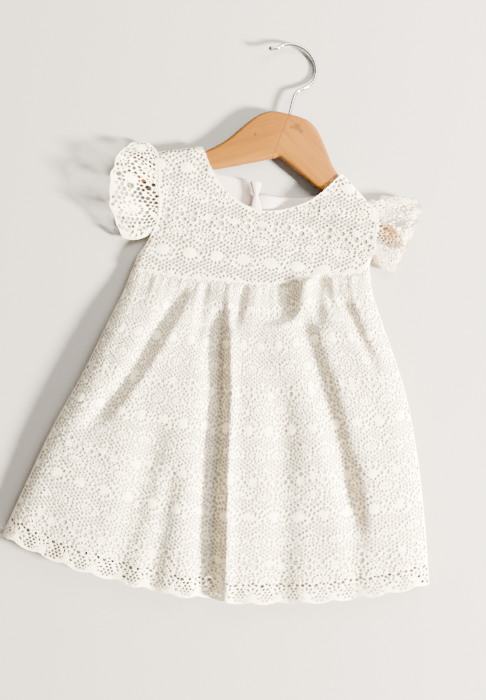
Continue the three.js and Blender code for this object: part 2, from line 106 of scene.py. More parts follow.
# Rounded joins at the shoulders and sides, how high their seams lie, and the bodice's own
# height at the chest, at the waist and down from the hanger's arms
SHOULDER_WRAP = 7
SHOULDER_SEAM = 8.6
SIDE_WRAP = 9
SIDE_SEAM = 7.5
CHEST = 11
AT_WAIST = 15
CHEST_RISE = 60
ARM_FALL = 42

# Sections across the skirt, from the waist seam down
SKIRT = {
    "at": (0.0, 0.08, 0.2, 0.4, 0.6, 0.8, 1.0),
    "left_x": (-126, -132, -144, -164, -187, -206, -225),
    "left_y": (-11, -36, -71, -130, -188, -246, -307),
    "right_x": (122, 128, 145, 175, 197, 214, 228),
    "right_y": (24, -2, -38, -100, -165, -232, -299),
    "seam": (7.5, 9, 10, 11, 11, 10, 9),
    "wrap": (9, 14, 18, 22, 24, 24, 20),
    "high": (15, 21, 27, 31, 30, 27, 22),
}
HEM_SAG = 42
CROWN = 0.2

WAIST_DIP = {
    "at": (0.0, 0.12, 0.25, 0.42, 0.6, 0.71, 0.8, 0.93, 1.0),
    "dip": (0, 6, 11, 15, 18.5, 12.5, 8.5, 7.5, 0),
}

# Folds of the skirt: from and to are places down it, top and bottom places across it,
# height is negative for a trough, width is half the fold's width, and spread is how much
# wider it is on its left, where it lies in shade
FOLD_COLUMNS = ("from", "to", "top", "bottom", "height", "width", "spread")
FOLDS = {
    "deep trough": (0.03, 1.5, 0.398, 0.553, -16, 7, 2.3),
    "its crest": (0.03, 1.5, 0.432, 0.59, 5, 7, 0.7),
    "left slant": (0.0, 0.62, 0.25, 0.07, -8, 11, 1),
    "left slant's crest": (0.0, 0.5, 0.29, 0.14, 3, 9, 1),
    "short left": (0.0, 0.24, 0.325, 0.338, -5, 6, 1),
    "middle slant": (0.0, 0.18, 0.49, 0.455, -4, 6, 1),
    "waist pocket": (0.0, 0.15, 0.665, 0.63, -8, 12, 1.6),
    "raised knuckle": (0.0, 0.16, 0.735, 0.7, 9, 10, 0.8),
    "beside the knuckle": (0.0, 0.14, 0.8, 0.85, -4, 6, 1),
    "right long": (0.02, 0.9, 0.7, 0.856, -9, 9, 1.3),
    "right short": (0.0, 0.2, 0.79, 0.77, -4, 7, 1),
    "right slant": (0.06, 0.38, 0.88, 0.955, -6, 7, 1),
    "left flute": (0.4, 1.6, 0.28, 0.27, -6, 16, 1),
    "middle flute": (0.25, 1.6, 0.62, 0.7, -6, 15, 1),
    "right flute": (0.5, 1.6, 0.81, 0.86, -4, 11, 1),
    "hem flute": (0.55, 1.6, 0.345, 0.37, -5, 11, 1),
}
# Shares of a fold's length over which it rises and after which it fades
FOLD_RISE = 0.13
FOLD_FADE = 0.72
# Waves of the gathers across the waist, their heights and how far down they reach
GATHER_WAVES, GATHER_HEIGHT, GATHER_REACH = 10, 0.8, 0.22
FINE_WAVES, FINE_HEIGHT, FINE_REACH = 27, 0.35, 0.14
SOFT_HEIGHT = 0.8

# Bodice outline
LEFT_TIP = (-115, 114)
LEFT_NECK = (-69, 126)
RIGHT_NECK = (81.5, 116)
RIGHT_TIP = (113, 89)
FRONT_NECK = {
    "at": (0.0, 0.15, 0.35, 0.54, 0.68, 0.86, 1.0),
    "x": (-69, -56, -34, -3, 22, 55, 81.5),
    "y": (126, 102, 79, 67, 70, 86, 116),
}
BACK_NECK_LEFT = {"at": (0.0, 0.35, 0.65, 1.0), "x": (-69, -56, -32, -4.4), "y": (126, 104, 99, 94)}
BACK_NECK_RIGHT = {"at": (0.0, 0.25, 0.6, 1.0), "x": (-3.8, 20, 55, 81.5), "y": (84, 84.5, 91, 116)}
NECK_FROM = 0.22
NECK_TO = 0.85
CENTRE_BACK = 0.48
CENTRE_GAP = 0.0015
ARMHOLE = {
    "at": (0.0, 0.12, 0.25, 0.35, 0.45, 0.6, 0.8, 1.0),
    "left": (0, 3, 10, 14.5, 15.5, 13, 7, 0),
    "right": (0, -2, -4, -5, -5.5, -6, -3, 0),
}
ARMHOLE_FADE = 0.2
ARMPIT = {"left": 0.32, "right": 0.14}

# Free edges of the sleeves, from the shoulder line to the underarm
SLEEVE = {
    "left": {
        "at": (0.0, 0.2, 0.45, 0.7, 1.0),
        "x": (-137, -149, -156, -154, -140),
        "y": (122, 108, 82, 50, 19),
        "high": (12, 25, 31, 28, 9),
        "under": (6, 1, 0, 0, 4),
    },
    "right": {
        "at": (0.0, 0.2, 0.45, 0.7, 1.0),
        "x": (155, 164, 162, 156, 149),
        "y": (101, 91, 72, 46, 21),
        "high": (12, 26, 32, 27, 9),
        "under": (6, 1, 0, 0, 4),
    },
}
RUFFLE_WAVES = 4.5
RUFFLE_HEIGHT = 3

# Hanger arms in their own plan, from the middle out
ARMS = {
    "out": (0, 12, 22, 32, 40, 48, 57, 70, 90, 115, 135, 146),
    "top": (0, -0.5, -2.5, -9, -18, -29, -41.5, -54, -69, -81, -90, -98),
    "under": (-46, -51.5, -56.5, -61, -65, -68.5, -72.5, -78, -88, -99, -107.5, -109.5),
}
# Middle of the hook's wire, from the wood to its tip
HOOK = (
    (17.55, 171.4, 9),
    (19.2, 187, 8.3),
    (22, 196.5, 7.4),
    (30.5, 203, 5.4),
    (37.3, 210.5, 3.5),
    (39.7, 220, 2.4),
    (37.4, 231, 2.4),
    (29.5, 240.5, 3.6),
    (19.5, 245.2, 5.4),
    (9.5, 245.8, 7.4),
    (1.5, 243, 9.4),
    (-4.5, 238.3, 11.2),
    (-11, 236.4, 12.6),
)

# The dress's plan in the frame: the button's middle is known in both
_low, _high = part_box("back_button")
SHIFT = np.array(
    [(_low.x + _high.x) / 2 / MM - BUTTON[0], (_low.y + _high.y) / 2 / MM - BUTTON[1], 0.0]
)


# Helpers for forms
def mix(a, b, t):
    return a + (b - a) * t


def smooth(low, high, value):
    t = np.clip((value - low) / (high - low), 0, 1)
    return t * t * (3 - 2 * t)


def quarter(share):
    """The quarter turn of a rounded join: 0 at the seam and 1 past the join."""
    return np.sqrt(1 - (1 - np.clip(share, 0, 1)) ** 2)


def read(table, column, at):
    """A column of a table at places between its rows, on a smooth curve through them."""
    x, y = np.array(table["at"], float), np.array(table[column], float)
    at = np.asarray(at, float)
    a = np.clip(np.searchsorted(x, at) - 1, 0, len(x) - 2)
    before, b, after = np.maximum(a - 1, 0), a + 1, np.minimum(a + 2, len(x) - 1)
    span = x[b] - x[a]
    t = (at - x[a]) / span
    leave = (y[b] - y[before]) / (x[b] - x[before]) * span
    reach = (y[after] - y[a]) / (x[after] - x[a]) * span
    return mix(y[a], y[b], t * t * (3 - 2 * t)) + leave * t * (1 - t) ** 2 - reach * t * t * (1 - t)


def sunk(form, a, b, depth, side):
    """Points of a form, moved in by depth from its outside. In a join they stay on their
    own side of the seam's height, which the form gives as its fourth column."""
    step = 0.4
    skin = form(a, b)
    across = form(a + step, b)[:, :3] - form(a - step, b)[:, :3]
    down = form(a, b + step)[:, :3] - form(a, b - step)[:, :3]
    normal = np.cross(across, down)
    normal /= np.maximum(np.linalg.norm(normal, axis=1), 1e-9)[:, None]
    normal[normal[:, 2] * side < 0] *= -1
    points = skin[:, :3] - normal * np.asarray(depth)[..., None]
    joined = ~np.isnan(skin[:, 3])
    points[joined, 2] = side * np.maximum(side * points[joined, 2], side * skin[joined, 3])
    return points


# Skirt, charted in millimetres of cloth: x across it and y up from the hem
REPEAT = 27
SKIRT_MOTIFS = 16
SKIRT_WIDTH = REPEAT * SKIRT_MOTIFS


def skirt_plan(u, v):
    """The place in the plan of a share across and a share down the skirt, and its width."""
    left_x, right_x = read(SKIRT, "left_x", v), read(SKIRT, "right_x", v)
    x = mix(left_x, right_x, u)
    y = mix(read(SKIRT, "left_y", v), read(SKIRT, "right_y", v), u)
    sag = HEM_SAG * (1 - (2 * u - 1) ** 2)
    return x, y - mix(read(WAIST_DIP, "dip", u), sag, smooth(0, 1, v)), right_x - left_x


def fold_height(u, v, width):
    """How far folds, gathers and soft unevenness raise or sink the skirt's front."""
    height = np.zeros_like(u)
    for row in FOLDS.values():
        fold = dict(zip(FOLD_COLUMNS, row))
        t = (v - fold["from"]) / (fold["to"] - fold["from"])
        fade = np.where((t > 0) & (t < 1), smooth(0, FOLD_RISE, t) * (1 - smooth(FOLD_FADE, 1, t)), 0)
        off = (u - mix(fold["top"], fold["bottom"], t)) * width / fold["width"]
        off = np.where(off < 0, off / fold["spread"], off)
        height += fold["height"] * fade * np.exp(-off * off)
    near = smooth(0, 0.03, v) * (1 - smooth(0.05, GATHER_REACH, v))
    height += GATHER_HEIGHT * np.sin(2 * math.pi * GATHER_WAVES * u) * near
    fine = smooth(0, 0.02, v) * (1 - smooth(0.03, FINE_REACH, v))
    height += FINE_HEIGHT * np.sin(2 * math.pi * FINE_WAVES * u + 2 * np.sin(9 * u)) * fine
    soft = np.sin(21 * u + 7 * v) * np.sin(11 * v + 4 * u) + 0.6 * np.sin(47 * u - 13 * v)
    return height + SOFT_HEIGHT * soft * smooth(0.05, 0.3, v)


def skirt_form(top):
    """The outside of the skirt's front or back at places of its chart."""

    def form(x_cloth, y_cloth):
        u, v = x_cloth / SKIRT_WIDTH, 1 - y_cloth / SKIRT_LENGTH
        x, y, width = skirt_plan(u, v)
        edge = np.minimum(u, 1 - u) / (read(SKIRT, "wrap", v) / width)
        turned = quarter(edge)
        seam = read(SKIRT, "seam", v) + (GAP / 2 if top else -GAP / 2)
        if top:
            inside = smooth(0.6, 1.6, edge)
            crown = 1 - CROWN * (2 * u - 1) ** 4
            high = read(SKIRT, "high", v) * crown + fold_height(u, v, width) * inside
        else:
            high = np.zeros_like(u)
        z = mix(seam, high, turned)
        return np.stack([x, y, z, np.where(turned < 1, seam, np.nan)], axis=1)

    return form


# Bodice, charted in the dress's own plan
def in_hanger(x, y):
    """A place of the dress's plan in the hanger's own."""
    dx, dy = x - STEM_FOOT[0], y - STEM_FOOT[1]
    c, s = math.cos(-HANGER_TURN), math.sin(-HANGER_TURN)
    return c * dx - s * dy, s * dx + c * dy


def bodice_high(x, y):
    """Height of the bodice's front: over the hanger's arms, and lower away from them."""
    out, along = in_hanger(x, y)
    below = np.interp(np.abs(out), ARMS["out"], ARMS["under"]) - along
    rest = mix(AT_WAIST, CHEST, smooth(0, CHEST_RISE, y + 10))
    return mix(OVER_ARM, rest, smooth(2, ARM_FALL, below))


def neck_curve(table, start, end):
    """A neck's curve over the shares of the bodice's width from its start to its end."""

    def curve(u):
        at = (u - start) / (end - start)
        return read(table, "x", at), read(table, "y", at)

    return curve


FRONT = neck_curve(FRONT_NECK, NECK_FROM, NECK_TO)
BACK_LEFT = neck_curve(BACK_NECK_LEFT, NECK_FROM, CENTRE_BACK)
BACK_RIGHT = neck_curve(BACK_NECK_RIGHT, CENTRE_BACK, NECK_TO)


def bodice_top(u, neck):
    """The shoulders and the neck, from the left shoulder's tip to the right one's."""
    x, y = neck(np.clip(u, NECK_FROM, NECK_TO))
    left, right = u / NECK_FROM, (u - NECK_TO) / (1 - NECK_TO)
    x = np.where(u <= NECK_FROM, mix(LEFT_TIP[0], LEFT_NECK[0], left), x)
    y = np.where(u <= NECK_FROM, mix(LEFT_TIP[1], LEFT_NECK[1], left), y)
    x = np.where(u >= NECK_TO, mix(RIGHT_NECK[0], RIGHT_TIP[0], right), x)
    y = np.where(u >= NECK_TO, mix(RIGHT_NECK[1], RIGHT_TIP[1], right), y)
    return x, y


def bodice_plan(u, v, neck):
    """A place of the bodice's outline or inside: u across it and v from waist to shoulder."""
    u, v = np.broadcast_arrays(np.asarray(u, float), np.asarray(v, float))
    waist_x, waist_y, _ = skirt_plan(u, np.zeros_like(u))
    top_x, top_y = bodice_top(u, neck)
    shift = read(ARMHOLE, "left", v) * (1 - smooth(0, ARMHOLE_FADE, u))
    shift -= read(ARMHOLE, "right", v) * smooth(1 - ARMHOLE_FADE, 1, u)
    return mix(waist_x, top_x, v) + shift, mix(waist_y, top_y, v)


def bodice_form(top):
    """The outside of the bodice's front or back at places of its plan."""
    v = np.linspace(0, 1, 60)
    sides = {"left": bodice_plan(0, v, FRONT), "right": bodice_plan(1, v, FRONT)}
    half = GAP / 2 if top else -GAP / 2

    def below(x, y, a, b):
        length = math.hypot(b[0] - a[0], b[1] - a[1])
        return ((b[1] - a[1]) * (x - a[0]) - (b[0] - a[0]) * (y - a[1])) / length

    def form(x, y):
        turn = np.ones_like(x)
        for name, (edge_x, edge_y) in sides.items():
            off = (x - np.interp(y, edge_y, edge_x)) * (1 if name == "left" else -1)
            up = np.interp(y, edge_y, v)
            closed = 1 - smooth(ARMPIT[name] - 0.1, ARMPIT[name], up)
            turn = np.minimum(turn, mix(1, quarter(off / SIDE_WRAP), closed))
        shoulder = np.minimum(
            below(x, y, LEFT_TIP, LEFT_NECK), below(x, y, RIGHT_NECK, RIGHT_TIP)
        )
        over = quarter(shoulder / SHOULDER_WRAP)
        if top:
            pucker = np.sin(0.21 * x + 0.13 * y) * np.sin(0.17 * y - 0.05 * x)
            high = bodice_high(x, y) + 0.5 * pucker * smooth(0, 12, y + 6)
        else:
            off = np.hypot(x - BUTTON[0], y - BUTTON[1]) / LIFT_SPREAD
            high = BUTTON_LIFT * np.exp(-off * off)
        z = mix(SHOULDER_SEAM + half, mix(SIDE_SEAM + half, high, turn), over)
        seam = np.where(over < 1, SHOULDER_SEAM + half, np.where(turn < 1, SIDE_SEAM + half, np.nan))
        return np.stack([x, y, z, seam], axis=1)

    return form


# Sleeves, charted in millimetres of cloth: x down from the shoulder line, y out to the edge
SLEEVE_LONG = 102
SLEEVE_OUT = 37
SLEEVE_ROW = -37
SLEEVE_COLUMN = 8.5


def sleeve_form(name, top):
    """The outside of a sleeve's upper or under layer at places of its chart."""
    table = SLEEVE[name]
    out = -1 if name == "left" else 1
    body = bodice_form(top)

    def form(x_cloth, y_cloth):
        v, u = np.clip(x_cloth / SLEEVE_LONG, 0, 1), y_cloth / SLEEVE_OUT
        edge_x, edge_y = bodice_plan(0 if name == "left" else 1, mix(1, ARMPIT[name], v), FRONT)
        free_x, free_y = read(table, "x", v), read(table, "y", v)
        x = mix(edge_x, free_x, u)
        y = mix(edge_y, free_y, u) + 4 * np.sin(math.pi * u) * (1 - 2 * v)
        join = quarter(np.minimum(v, 1 - v) / 0.1)
        fold_high = mix(SHOULDER_SEAM, SIDE_SEAM, v) + (GAP / 2 if top else -GAP / 2)
        at_seam = bodice_high(edge_x, edge_y) if top else 0
        spread = np.maximum(0, read(table, "high" if top else "under", v))
        wave = RUFFLE_HEIGHT * np.sin(2 * math.pi * RUFFLE_WAVES * v) * u * u * join if top else 0
        z = mix(mix(fold_high, at_seam, join), mix(fold_high, spread, join) + wave, smooth(0, 1, u))
        return np.stack([x, y, z, np.where(join < 1, fold_high, np.nan)], axis=1)

    return form


# Lace chart. A hole is (x, y, width, height, turn in degrees), in millimetres.
ROW = 87
HEM_ROW = 42
PAIR = (
    (0, 3.3, 5.6, 4.9, 0),
    (0, -3.5, 6.0, 5.6, 0),
    (5.0, 0.3, 2.4, 2.8, 0),
    (-5.0, 0.3, 2.4, 2.8, 0),
)
TRIANGLE = (
    (0, 0.9, 5.6, 5.4, 0),
    (3.7, -4.4, 4.3, 4.9, 15),
    (-3.7, -4.4, 4.3, 4.9, -15),
    (7.7, -7.3, 3.2, 3.6, 35),
    (-7.7, -7.3, 3.2, 3.6, -35),
    (10.9, -9.9, 3.0, 3.4, 45),
    (-10.9, -9.9, 3.0, 3.4, -45),
    (0, 5.9, 2.6, 2.8, 0),
)


def around(count, radius_x, radius_y, width, height, start=0.0, end=360.0):
    """Holes set in an oval or on an arc of one, each turned to point at its middle."""
    holes = []
    steps = count if end - start == 360 else count - 1
    for k in range(count):
        turn = math.radians(start + (end - start) * k / steps)
        x, y = radius_x * math.cos(turn), radius_y * math.sin(turn)
        holes.append((x, y, width, height, math.degrees(turn) - 90))
    return holes


RING = [*around(14, 9.0, 5.6, 2.7, 3.2, 12, 372), (0, 0, 1.8, 1.8, 0)]
RING += [(x, 0, 1.7, 1.7, 0) for x in (4.4, -4.4)]
DIAMOND = [*around(5, 8.6, 7.2, 3.1, 3.5, 38, 142), *around(5, 8.6, 7.2, 3.1, 3.5, 218, 322)]
CHEST_SOLID = (7.4, 5.4)
SKIRT_SOLID = (5.6, 4.0)
FAN_ROWS = ((-1, -5.2), (1, -3.2), (-1, 0.4), (1, 2.2), (-1, 5.8))
FAN = [(side * 2.3 + 0.35 * y, y, 2.7, 4.4, -32) for side, y in FAN_ROWS]
DIAMOND_UP = 48
RING_UP = (23, 69)
# Ground of small leaning holes: its spacing, its holes and the least thread between them
NET_ACROSS = 3.6
NET_UP = 4.0
NET_RISE = 2.15
NET_HOLE = (4.05, 3.3)
NET_TURN = 31
SMALL_HOLE = (2.0, 1.8)
NET_CLEAR = 0.3
THREAD = 0.22
# Least share of its size that a hole may be cut down to where its neighbours need room
LEAST_SHARE = 0.62
# How far holes are drawn aside together, and how much each differs from the chart
SWAY = 0.14
DRIFT = 0.06
# Hem: fans over solid shells, and diamonds of open net with two eyes above each
HEM_FAN = around(5, 8.4, 9.0, 2.4, 3.8, 28, 152)
HEM_FAN_UP = 6.5
HEM_SHELL = (7.0, 3.2, 4.4)
HEM_OPEN = (2, 3, 4, 3, 2)
HEM_OPEN_LOW, HEM_OPEN_ACROSS, HEM_OPEN_UP = 2.6, 4.0, 3.1
HEM_OPEN_HOLE = (3.2, 3.0, 45)
HEM_EYES = ((-4.4, 18.4, 4.4, 4.2, 20), (3.4, 19.4, 3.3, 3.5, 0))
HEM_HIGH = 21


def charted(width, low, high, first_x, step, oval=SKIRT_SOLID):
    """All the motifs' holes of a panel's chart and its solid ovals. Rows of motifs repeat
    every ROW, each set half a motif over."""
    big, solid = [], []
    stretch = step / REPEAT
    motifs = [(PAIR, 0, 0), (TRIANGLE, 0.5, 0), (DIAMOND, 0.5, DIAMOND_UP), (FAN, 0, DIAMOND_UP)]
    motifs += [(RING, 0, up) for up in RING_UP]
    for row in range(-1, int((high - low) / ROW) + 2):
        for k in range(-2, int(width / step) + 3):
            x = first_x + (k + (row % 2) / 2) * step
            y = low + row * ROW
            for motif, over, up in motifs:
                at = x + over * step
                big += [(at + hx * stretch, y + (up + hy), w, h, t) for hx, hy, w, h, t in motif]
            solid.append((x + 0.5 * step, y + DIAMOND_UP, *oval))
    return big, solid


def net_holes(area, taken, solid, lean=1):
    """Small leaning holes of the ground, wherever a motif leaves room for one, and smaller
    ones between them."""
    x_from, x_to, y_from, y_to = area
    full, small = [], []
    for i in range(int((x_to - x_from) / NET_ACROSS) + 1):
        for j in range(int((y_to - y_from) / NET_UP) + 2):
            x = x_from + i * NET_ACROSS
            y = y_from + (j - 1) * NET_UP + (lean * i * NET_RISE) % NET_UP
            full.append((x, y, *NET_HOLE, lean * NET_TURN))
            for part in (0.5, 0.0):
                small.append((x + part * NET_ACROSS, y + NET_UP / 2, *SMALL_HOLE, 0))
    room = Room(taken)
    open_ground = [hole for hole in full + small if not in_solid(solid, *hole[:2])]
    return [kept for kept in (room.fit(hole, NET_CLEAR) for hole in open_ground) if kept]


def in_solid(solid, x, y):
    """Whether a place lies in one of the ovals without holes."""
    return any(((x - sx) / rx) ** 2 + ((y - sy) / ry) ** 2 < 1 for sx, sy, rx, ry in solid)


def reach(hole, dx, dy):
    """How far a hole goes from its middle towards a direction."""
    _, _, w, h, turn = hole
    turn = math.atan2(dy, dx) - math.radians(turn)
    return w * h / 2 / math.hypot(h * math.cos(turn), w * math.sin(turn))


class Room:
    """Holes kept by place, to find quickly how much of another fits between them."""

    cell = 6.0

    def __init__(self, holes=()):
        self.cells = {}
        for hole in holes:
            self.add(hole)

    def add(self, hole):
        key = (int(hole[0] // self.cell), int(hole[1] // self.cell))
        self.cells.setdefault(key, []).append(hole)

    def fit(self, hole, thread):
        """Keeps a hole, made smaller where its neighbours need it, with thread left between
        them. Where too little of it would be left it gives None."""
        x, y, w, h, turn = hole
        i, j = int(x // self.cell), int(y // self.cell)
        share = 1.0
        for key in ((i + a, j + b) for a in (-1, 0, 1) for b in (-1, 0, 1)):
            for other in self.cells.get(key, ()):
                dx, dy = other[0] - x, other[1] - y
                free = math.hypot(dx, dy) - thread - reach(other, -dx, -dy)
                share = min(share, free / reach(hole, dx, dy))
        if share < LEAST_SHARE:
            return None
        kept = (x, y, w * share, h * share, turn)
        self.add(kept)
        return kept


def hem_holes(first_x, step, columns):
    """The last stretch above the scalloped edge, and its solid shells."""
    holes, solid = [], []
    for k in columns:
        x = first_x + k * step
        holes += [(x + hx, HEM_FAN_UP + hy, w, h, t) for hx, hy, w, h, t in HEM_FAN]
        solid.append((x, *HEM_SHELL))
        open_x = x + step / 2
        for j, count in enumerate(HEM_OPEN):
            for i in range(count):
                across = open_x + (i - (count - 1) / 2) * HEM_OPEN_ACROSS
                holes.append((across, HEM_OPEN_LOW + HEM_OPEN_UP * j, *HEM_OPEN_HOLE))
        holes += [(open_x + hx, y, w, h, t) for hx, y, w, h, t in HEM_EYES]
    return holes, solid


# Panels of cloth as meshes

# How deep a hole's rim is set in, and how deep the cloth between crossings is
RIM = 0.55
FLOAT = 0.1
LINING_DEPTH = LACE + GAP + FLOAT
SIDES = 8
FEW_SIDES = 6
# Holes whose width and height add up to less are drawn with fewer sides
FINE_HOLE = 4
# How much larger than its hole a ring of thread is, for the hole to stay open
RING_GROW = 1.04
# Points between holes: rows of equal triangles, and how near to a hole one may lie
FILL_SPACING = 3.2
FILL_ROW = 0.87
FILL_CLEAR = 0.42


def ring(hole, sides, grow):
    """Corners of a hole's rim."""
    x, y, w, h, turn = hole
    c, s = math.cos(math.radians(turn)), math.sin(math.radians(turn))
    points = []
    for k in range(sides):
        a = 2 * math.pi * (k + 0.5) / sides
        px, py = grow * w / 2 * math.cos(a), grow * h / 2 * math.sin(a)
        points.append((x + c * px - s * py, y + s * px + c * py))
    return points


def within(points, outline):
    """Which points lie inside a closed outline."""
    x, y = points[:, 0], points[:, 1]
    inside = np.zeros(len(points), bool)
    for (x0, y0), (x1, y1) in zip(outline, np.roll(outline, -1, axis=0)):
        if y0 == y1:
            continue
        crosses = (y0 > y) != (y1 > y)
        inside ^= crosses & (x < (x1 - x0) * (y - y0) / (y1 - y0) + x0)
    return inside


def uneven(holes):
    """The same holes as thread really leaves them: drawn aside together, and none quite in
    place or quite alike."""
    drift = np.random.default_rng(7).normal(0, 1, (len(holes), 5)).clip(-2, 2)
    drawn = []
    for (x, y, w, h, turn), (dx, dy, wider, higher, tilt) in zip(holes, drift):
        sway_x = math.sin(0.31 * x + 0.17 * y) + math.sin(0.13 * x - 0.37 * y)
        sway_y = math.sin(0.29 * x - 0.23 * y) + math.sin(0.07 * x + 0.41 * y)
        place = (x + SWAY * sway_x + DRIFT * dx, y + SWAY * sway_y + DRIFT * dy)
        drawn.append((*place, w * (1 + DRIFT * wider), h * (1 + DRIFT * higher), turn + 9 * tilt))
    return drawn


def kept_holes(holes, outline, sides, margin=1.25):
    """Holes that lie inside the outline, with thread left between them."""
    grown = np.array([ring(h, sides, margin) for h in holes]).reshape(-1, 2)
    inside = within(grown, outline).reshape(len(holes), sides).all(axis=1)
    room = Room()
    kept = (room.fit(hole, THREAD) for hole, fine in zip(holes, inside) if fine)
    return [hole for hole in kept if hole]


def fill_points(outline, rims, spacing):
    """Points for the stretches without holes, so that the cloth can bend there."""
    low, high = outline.min(axis=0), outline.max(axis=0)
    rows = np.arange(low[1], high[1], spacing * FILL_ROW)
    x, y = np.meshgrid(np.arange(low[0], high[0], spacing), rows)
    x[1::2] += spacing / 2
    points = np.stack([x.ravel(), y.ravel()], axis=1)
    points = points[within(points, outline)]
    cells = {}
    for px, py in np.concatenate([rims, outline]):
        cells.setdefault((int(px // spacing), int(py // spacing)), []).append((px, py))
    clear = spacing * FILL_CLEAR
    kept = []
    for px, py in points:
        cx, cy = int(px // spacing), int(py // spacing)
        around_it = [(cx + i, cy + j) for i in (-1, 0, 1) for j in (-1, 0, 1)]
        near = (place for key in around_it for place in cells.get(key, ()))
        if all(math.hypot(px - qx, py - qy) > clear for qx, qy in near):
            kept.append((px, py))
    return np.array(kept).reshape(-1, 2)


def net_area(outline, holes):
    """Area of cloth that is left of a panel, in square metres."""
    x, y = outline[:, 0], outline[:, 1]
    whole = abs(np.dot(x, np.roll(y, -1)) - np.dot(y, np.roll(x, -1))) / 2
    return (whole - sum(math.pi / 4 * w * h for _, _, w, h, _ in holes)) * MM * MM


def cut_cloth(outline, holes, sides, spacing):
    """Triangles of a flat panel with its holes left open: their points, corners and depths.
    Rims are set in and crossings stand out, so that bars read as rounded thread."""
    rings = [ring(h, sides if h[2] + h[3] > FINE_HOLE else FEW_SIDES, RING_GROW) for h in holes]
    rims = np.array([p for each in rings for p in each]).reshape(-1, 2)
    middles = np.array([h[:2] for h in holes]).reshape(-1, 2)
    fill = fill_points(outline, np.concatenate([rims, middles]), spacing)
    flat = np.concatenate([outline, rims, fill])
    first = len(outline)
    owner = np.full(len(flat), -1)
    owner[first : first + len(rims)] = np.repeat(np.arange(len(holes)), [len(r) for r in rings])
    owner[:first] = -2
    edges = []
    start = 0
    for count in (first, *(len(each) for each in rings)):
        edges += [(start + i, start + (i + 1) % count) for i in range(count)]
        start += count
    verts, _, faces, origin, _, _ = delaunay_2d_cdt(
        [Vector(p) for p in flat], edges, [], 1, 1e-5
    )
    kind = np.array([owner[o[0]] if o else -1 for o in origin])
    flat = np.array([(p.x, p.y) for p in verts])
    faces = np.array([f for f in faces])
    who = kind[faces]
    in_hole = (who[:, 0] >= 0) & (who[:, 0] == who[:, 1]) & (who[:, 1] == who[:, 2])
    faces = faces[~in_hole & within(flat[faces].mean(axis=1), outline)]
    who = np.sort(kind[faces], axis=1)
    crossing = (who[:, 0] >= 0) & (who[:, 0] < who[:, 1]) & (who[:, 1] < who[:, 2])
    centres = flat[faces[crossing]].mean(axis=1)
    index = len(flat) + np.arange(len(centres))
    a, b, c = faces[crossing].T
    split = [np.stack(corners, 1) for corners in ((a, b, index), (b, c, index), (c, a, index))]
    faces = np.concatenate([faces[~crossing], *split])
    depth = np.concatenate([np.where(kind >= 0, RIM, FLOAT), np.zeros(len(centres))])
    return np.concatenate([flat, centres]), faces, depth


def lace_panel(name, outline, holes, form, side, sides=SIDES, spacing=FILL_SPACING, backed=None):
    """A panel with its holes cut through, laid on a form. Where no lining is behind it, below
    the height backed of its chart, its thread has an inner side too, and on a panel that
    faces down that side gets painted shade, darker, for the shade of the one above."""
    outline = np.array(outline, float)
    holes = kept_holes(uneven(holes), outline, sides)
    flat, faces, depth = cut_cloth(outline, holes, sides, spacing)
    if backed is not None:
        low = faces[(flat[faces][:, :, 1] < backed).all(axis=1)]
        ids, inner = np.unique(low, return_inverse=True)
        faces = np.concatenate([faces, len(flat) + inner.reshape(low.shape)[:, ::-1]])
        flat = np.concatenate([flat, flat[ids]])
        depth = np.concatenate([depth, depth[ids] + LACE - FLOAT])
    piece = cloth_object(name, sunk(form, *flat.T, depth, side), faces, flat, side)
    # Painted shade: the inner side of a panel that faces down is marked, and the lace material
    # darkens it to the shaded colour
    if backed is not None and side < 0:
        shaded = piece.data.attributes.new("in_shade", "FLOAT", "POINT")
        shaded.data.foreach_set("value", np.repeat([0.0, 1.0], [len(flat) - len(ids), len(ids)]))
    piece["net_area"] = net_area(outline, holes)
    return piece


def cloth_object(name, points, faces, flat, side):
    """A mesh from arrays in millimetres of the dress's plan, with the chart as its UV map."""
    points = (points + SHIFT) * MM
    a, b, c = (points[faces[:, k]] for k in range(3))
    up = np.cross(b - a, c - a)[:, 2].sum()
    if up * side < 0:
        faces = faces[:, ::-1]
    mesh = bpy.data.meshes.new(name)
    mesh.vertices.add(len(points))
    mesh.vertices.foreach_set("co", points.astype(np.float32).ravel())
    mesh.loops.add(faces.size)
    mesh.loops.foreach_set("vertex_index", faces.astype(np.int32).ravel())
    corners = faces.shape[1]
    mesh.polygons.add(len(faces))
    mesh.polygons.foreach_set("loop_start", np.arange(0, faces.size, corners, dtype=np.int32))
    mesh.update(calc_edges=True)
    chart = mesh.uv_layers.new(name="chart")
    chart.data.foreach_set("uv", (flat[faces.ravel()] * MM).astype(np.float32).ravel())
    mesh.validate()
    mesh.shade_smooth()
    piece = bpy.data.objects.new(name, mesh)
    bpy.context.scene.collection.objects.link(piece)
    return piece


def grid_lining(name, form, xs, ys, side):
    """A plain lining as a grid laid under the lace."""
    x, y = np.meshgrid(xs, ys)
    flat = np.stack([x.ravel(), y.ravel()], axis=1)
    points = sunk(form, *flat.T, np.full(len(flat), LINING_DEPTH), side)
    return thickened(cloth_object(name, points, grid_faces(len(xs), len(ys)), flat, side))


def grid_faces(across, up):
    """Corners of a grid's squares, from its counts of points."""
    corner = (np.arange(up - 1)[:, None] * across + np.arange(across - 1)).ravel()
    return np.stack([corner, corner + 1, corner + across + 1, corner + across], axis=1)


def thickened(piece):
    """Gives a lining its thickness, inwards from the side that shows."""
    solidify = piece.modifiers.new("thickness", "SOLIDIFY")
    solidify.thickness = LINING * MM
    solidify.offset = -1
    only(piece)
    bpy.ops.object.modifier_apply(modifier=solidify.name)
    piece.data.shade_smooth()
    return piece


def only(piece):
    """Selects one object alone and makes it active."""
    bpy.ops.object.select_all(action="DESELECT")
    piece.select_set(True)
    bpy.context.view_layer.objects.active = piece


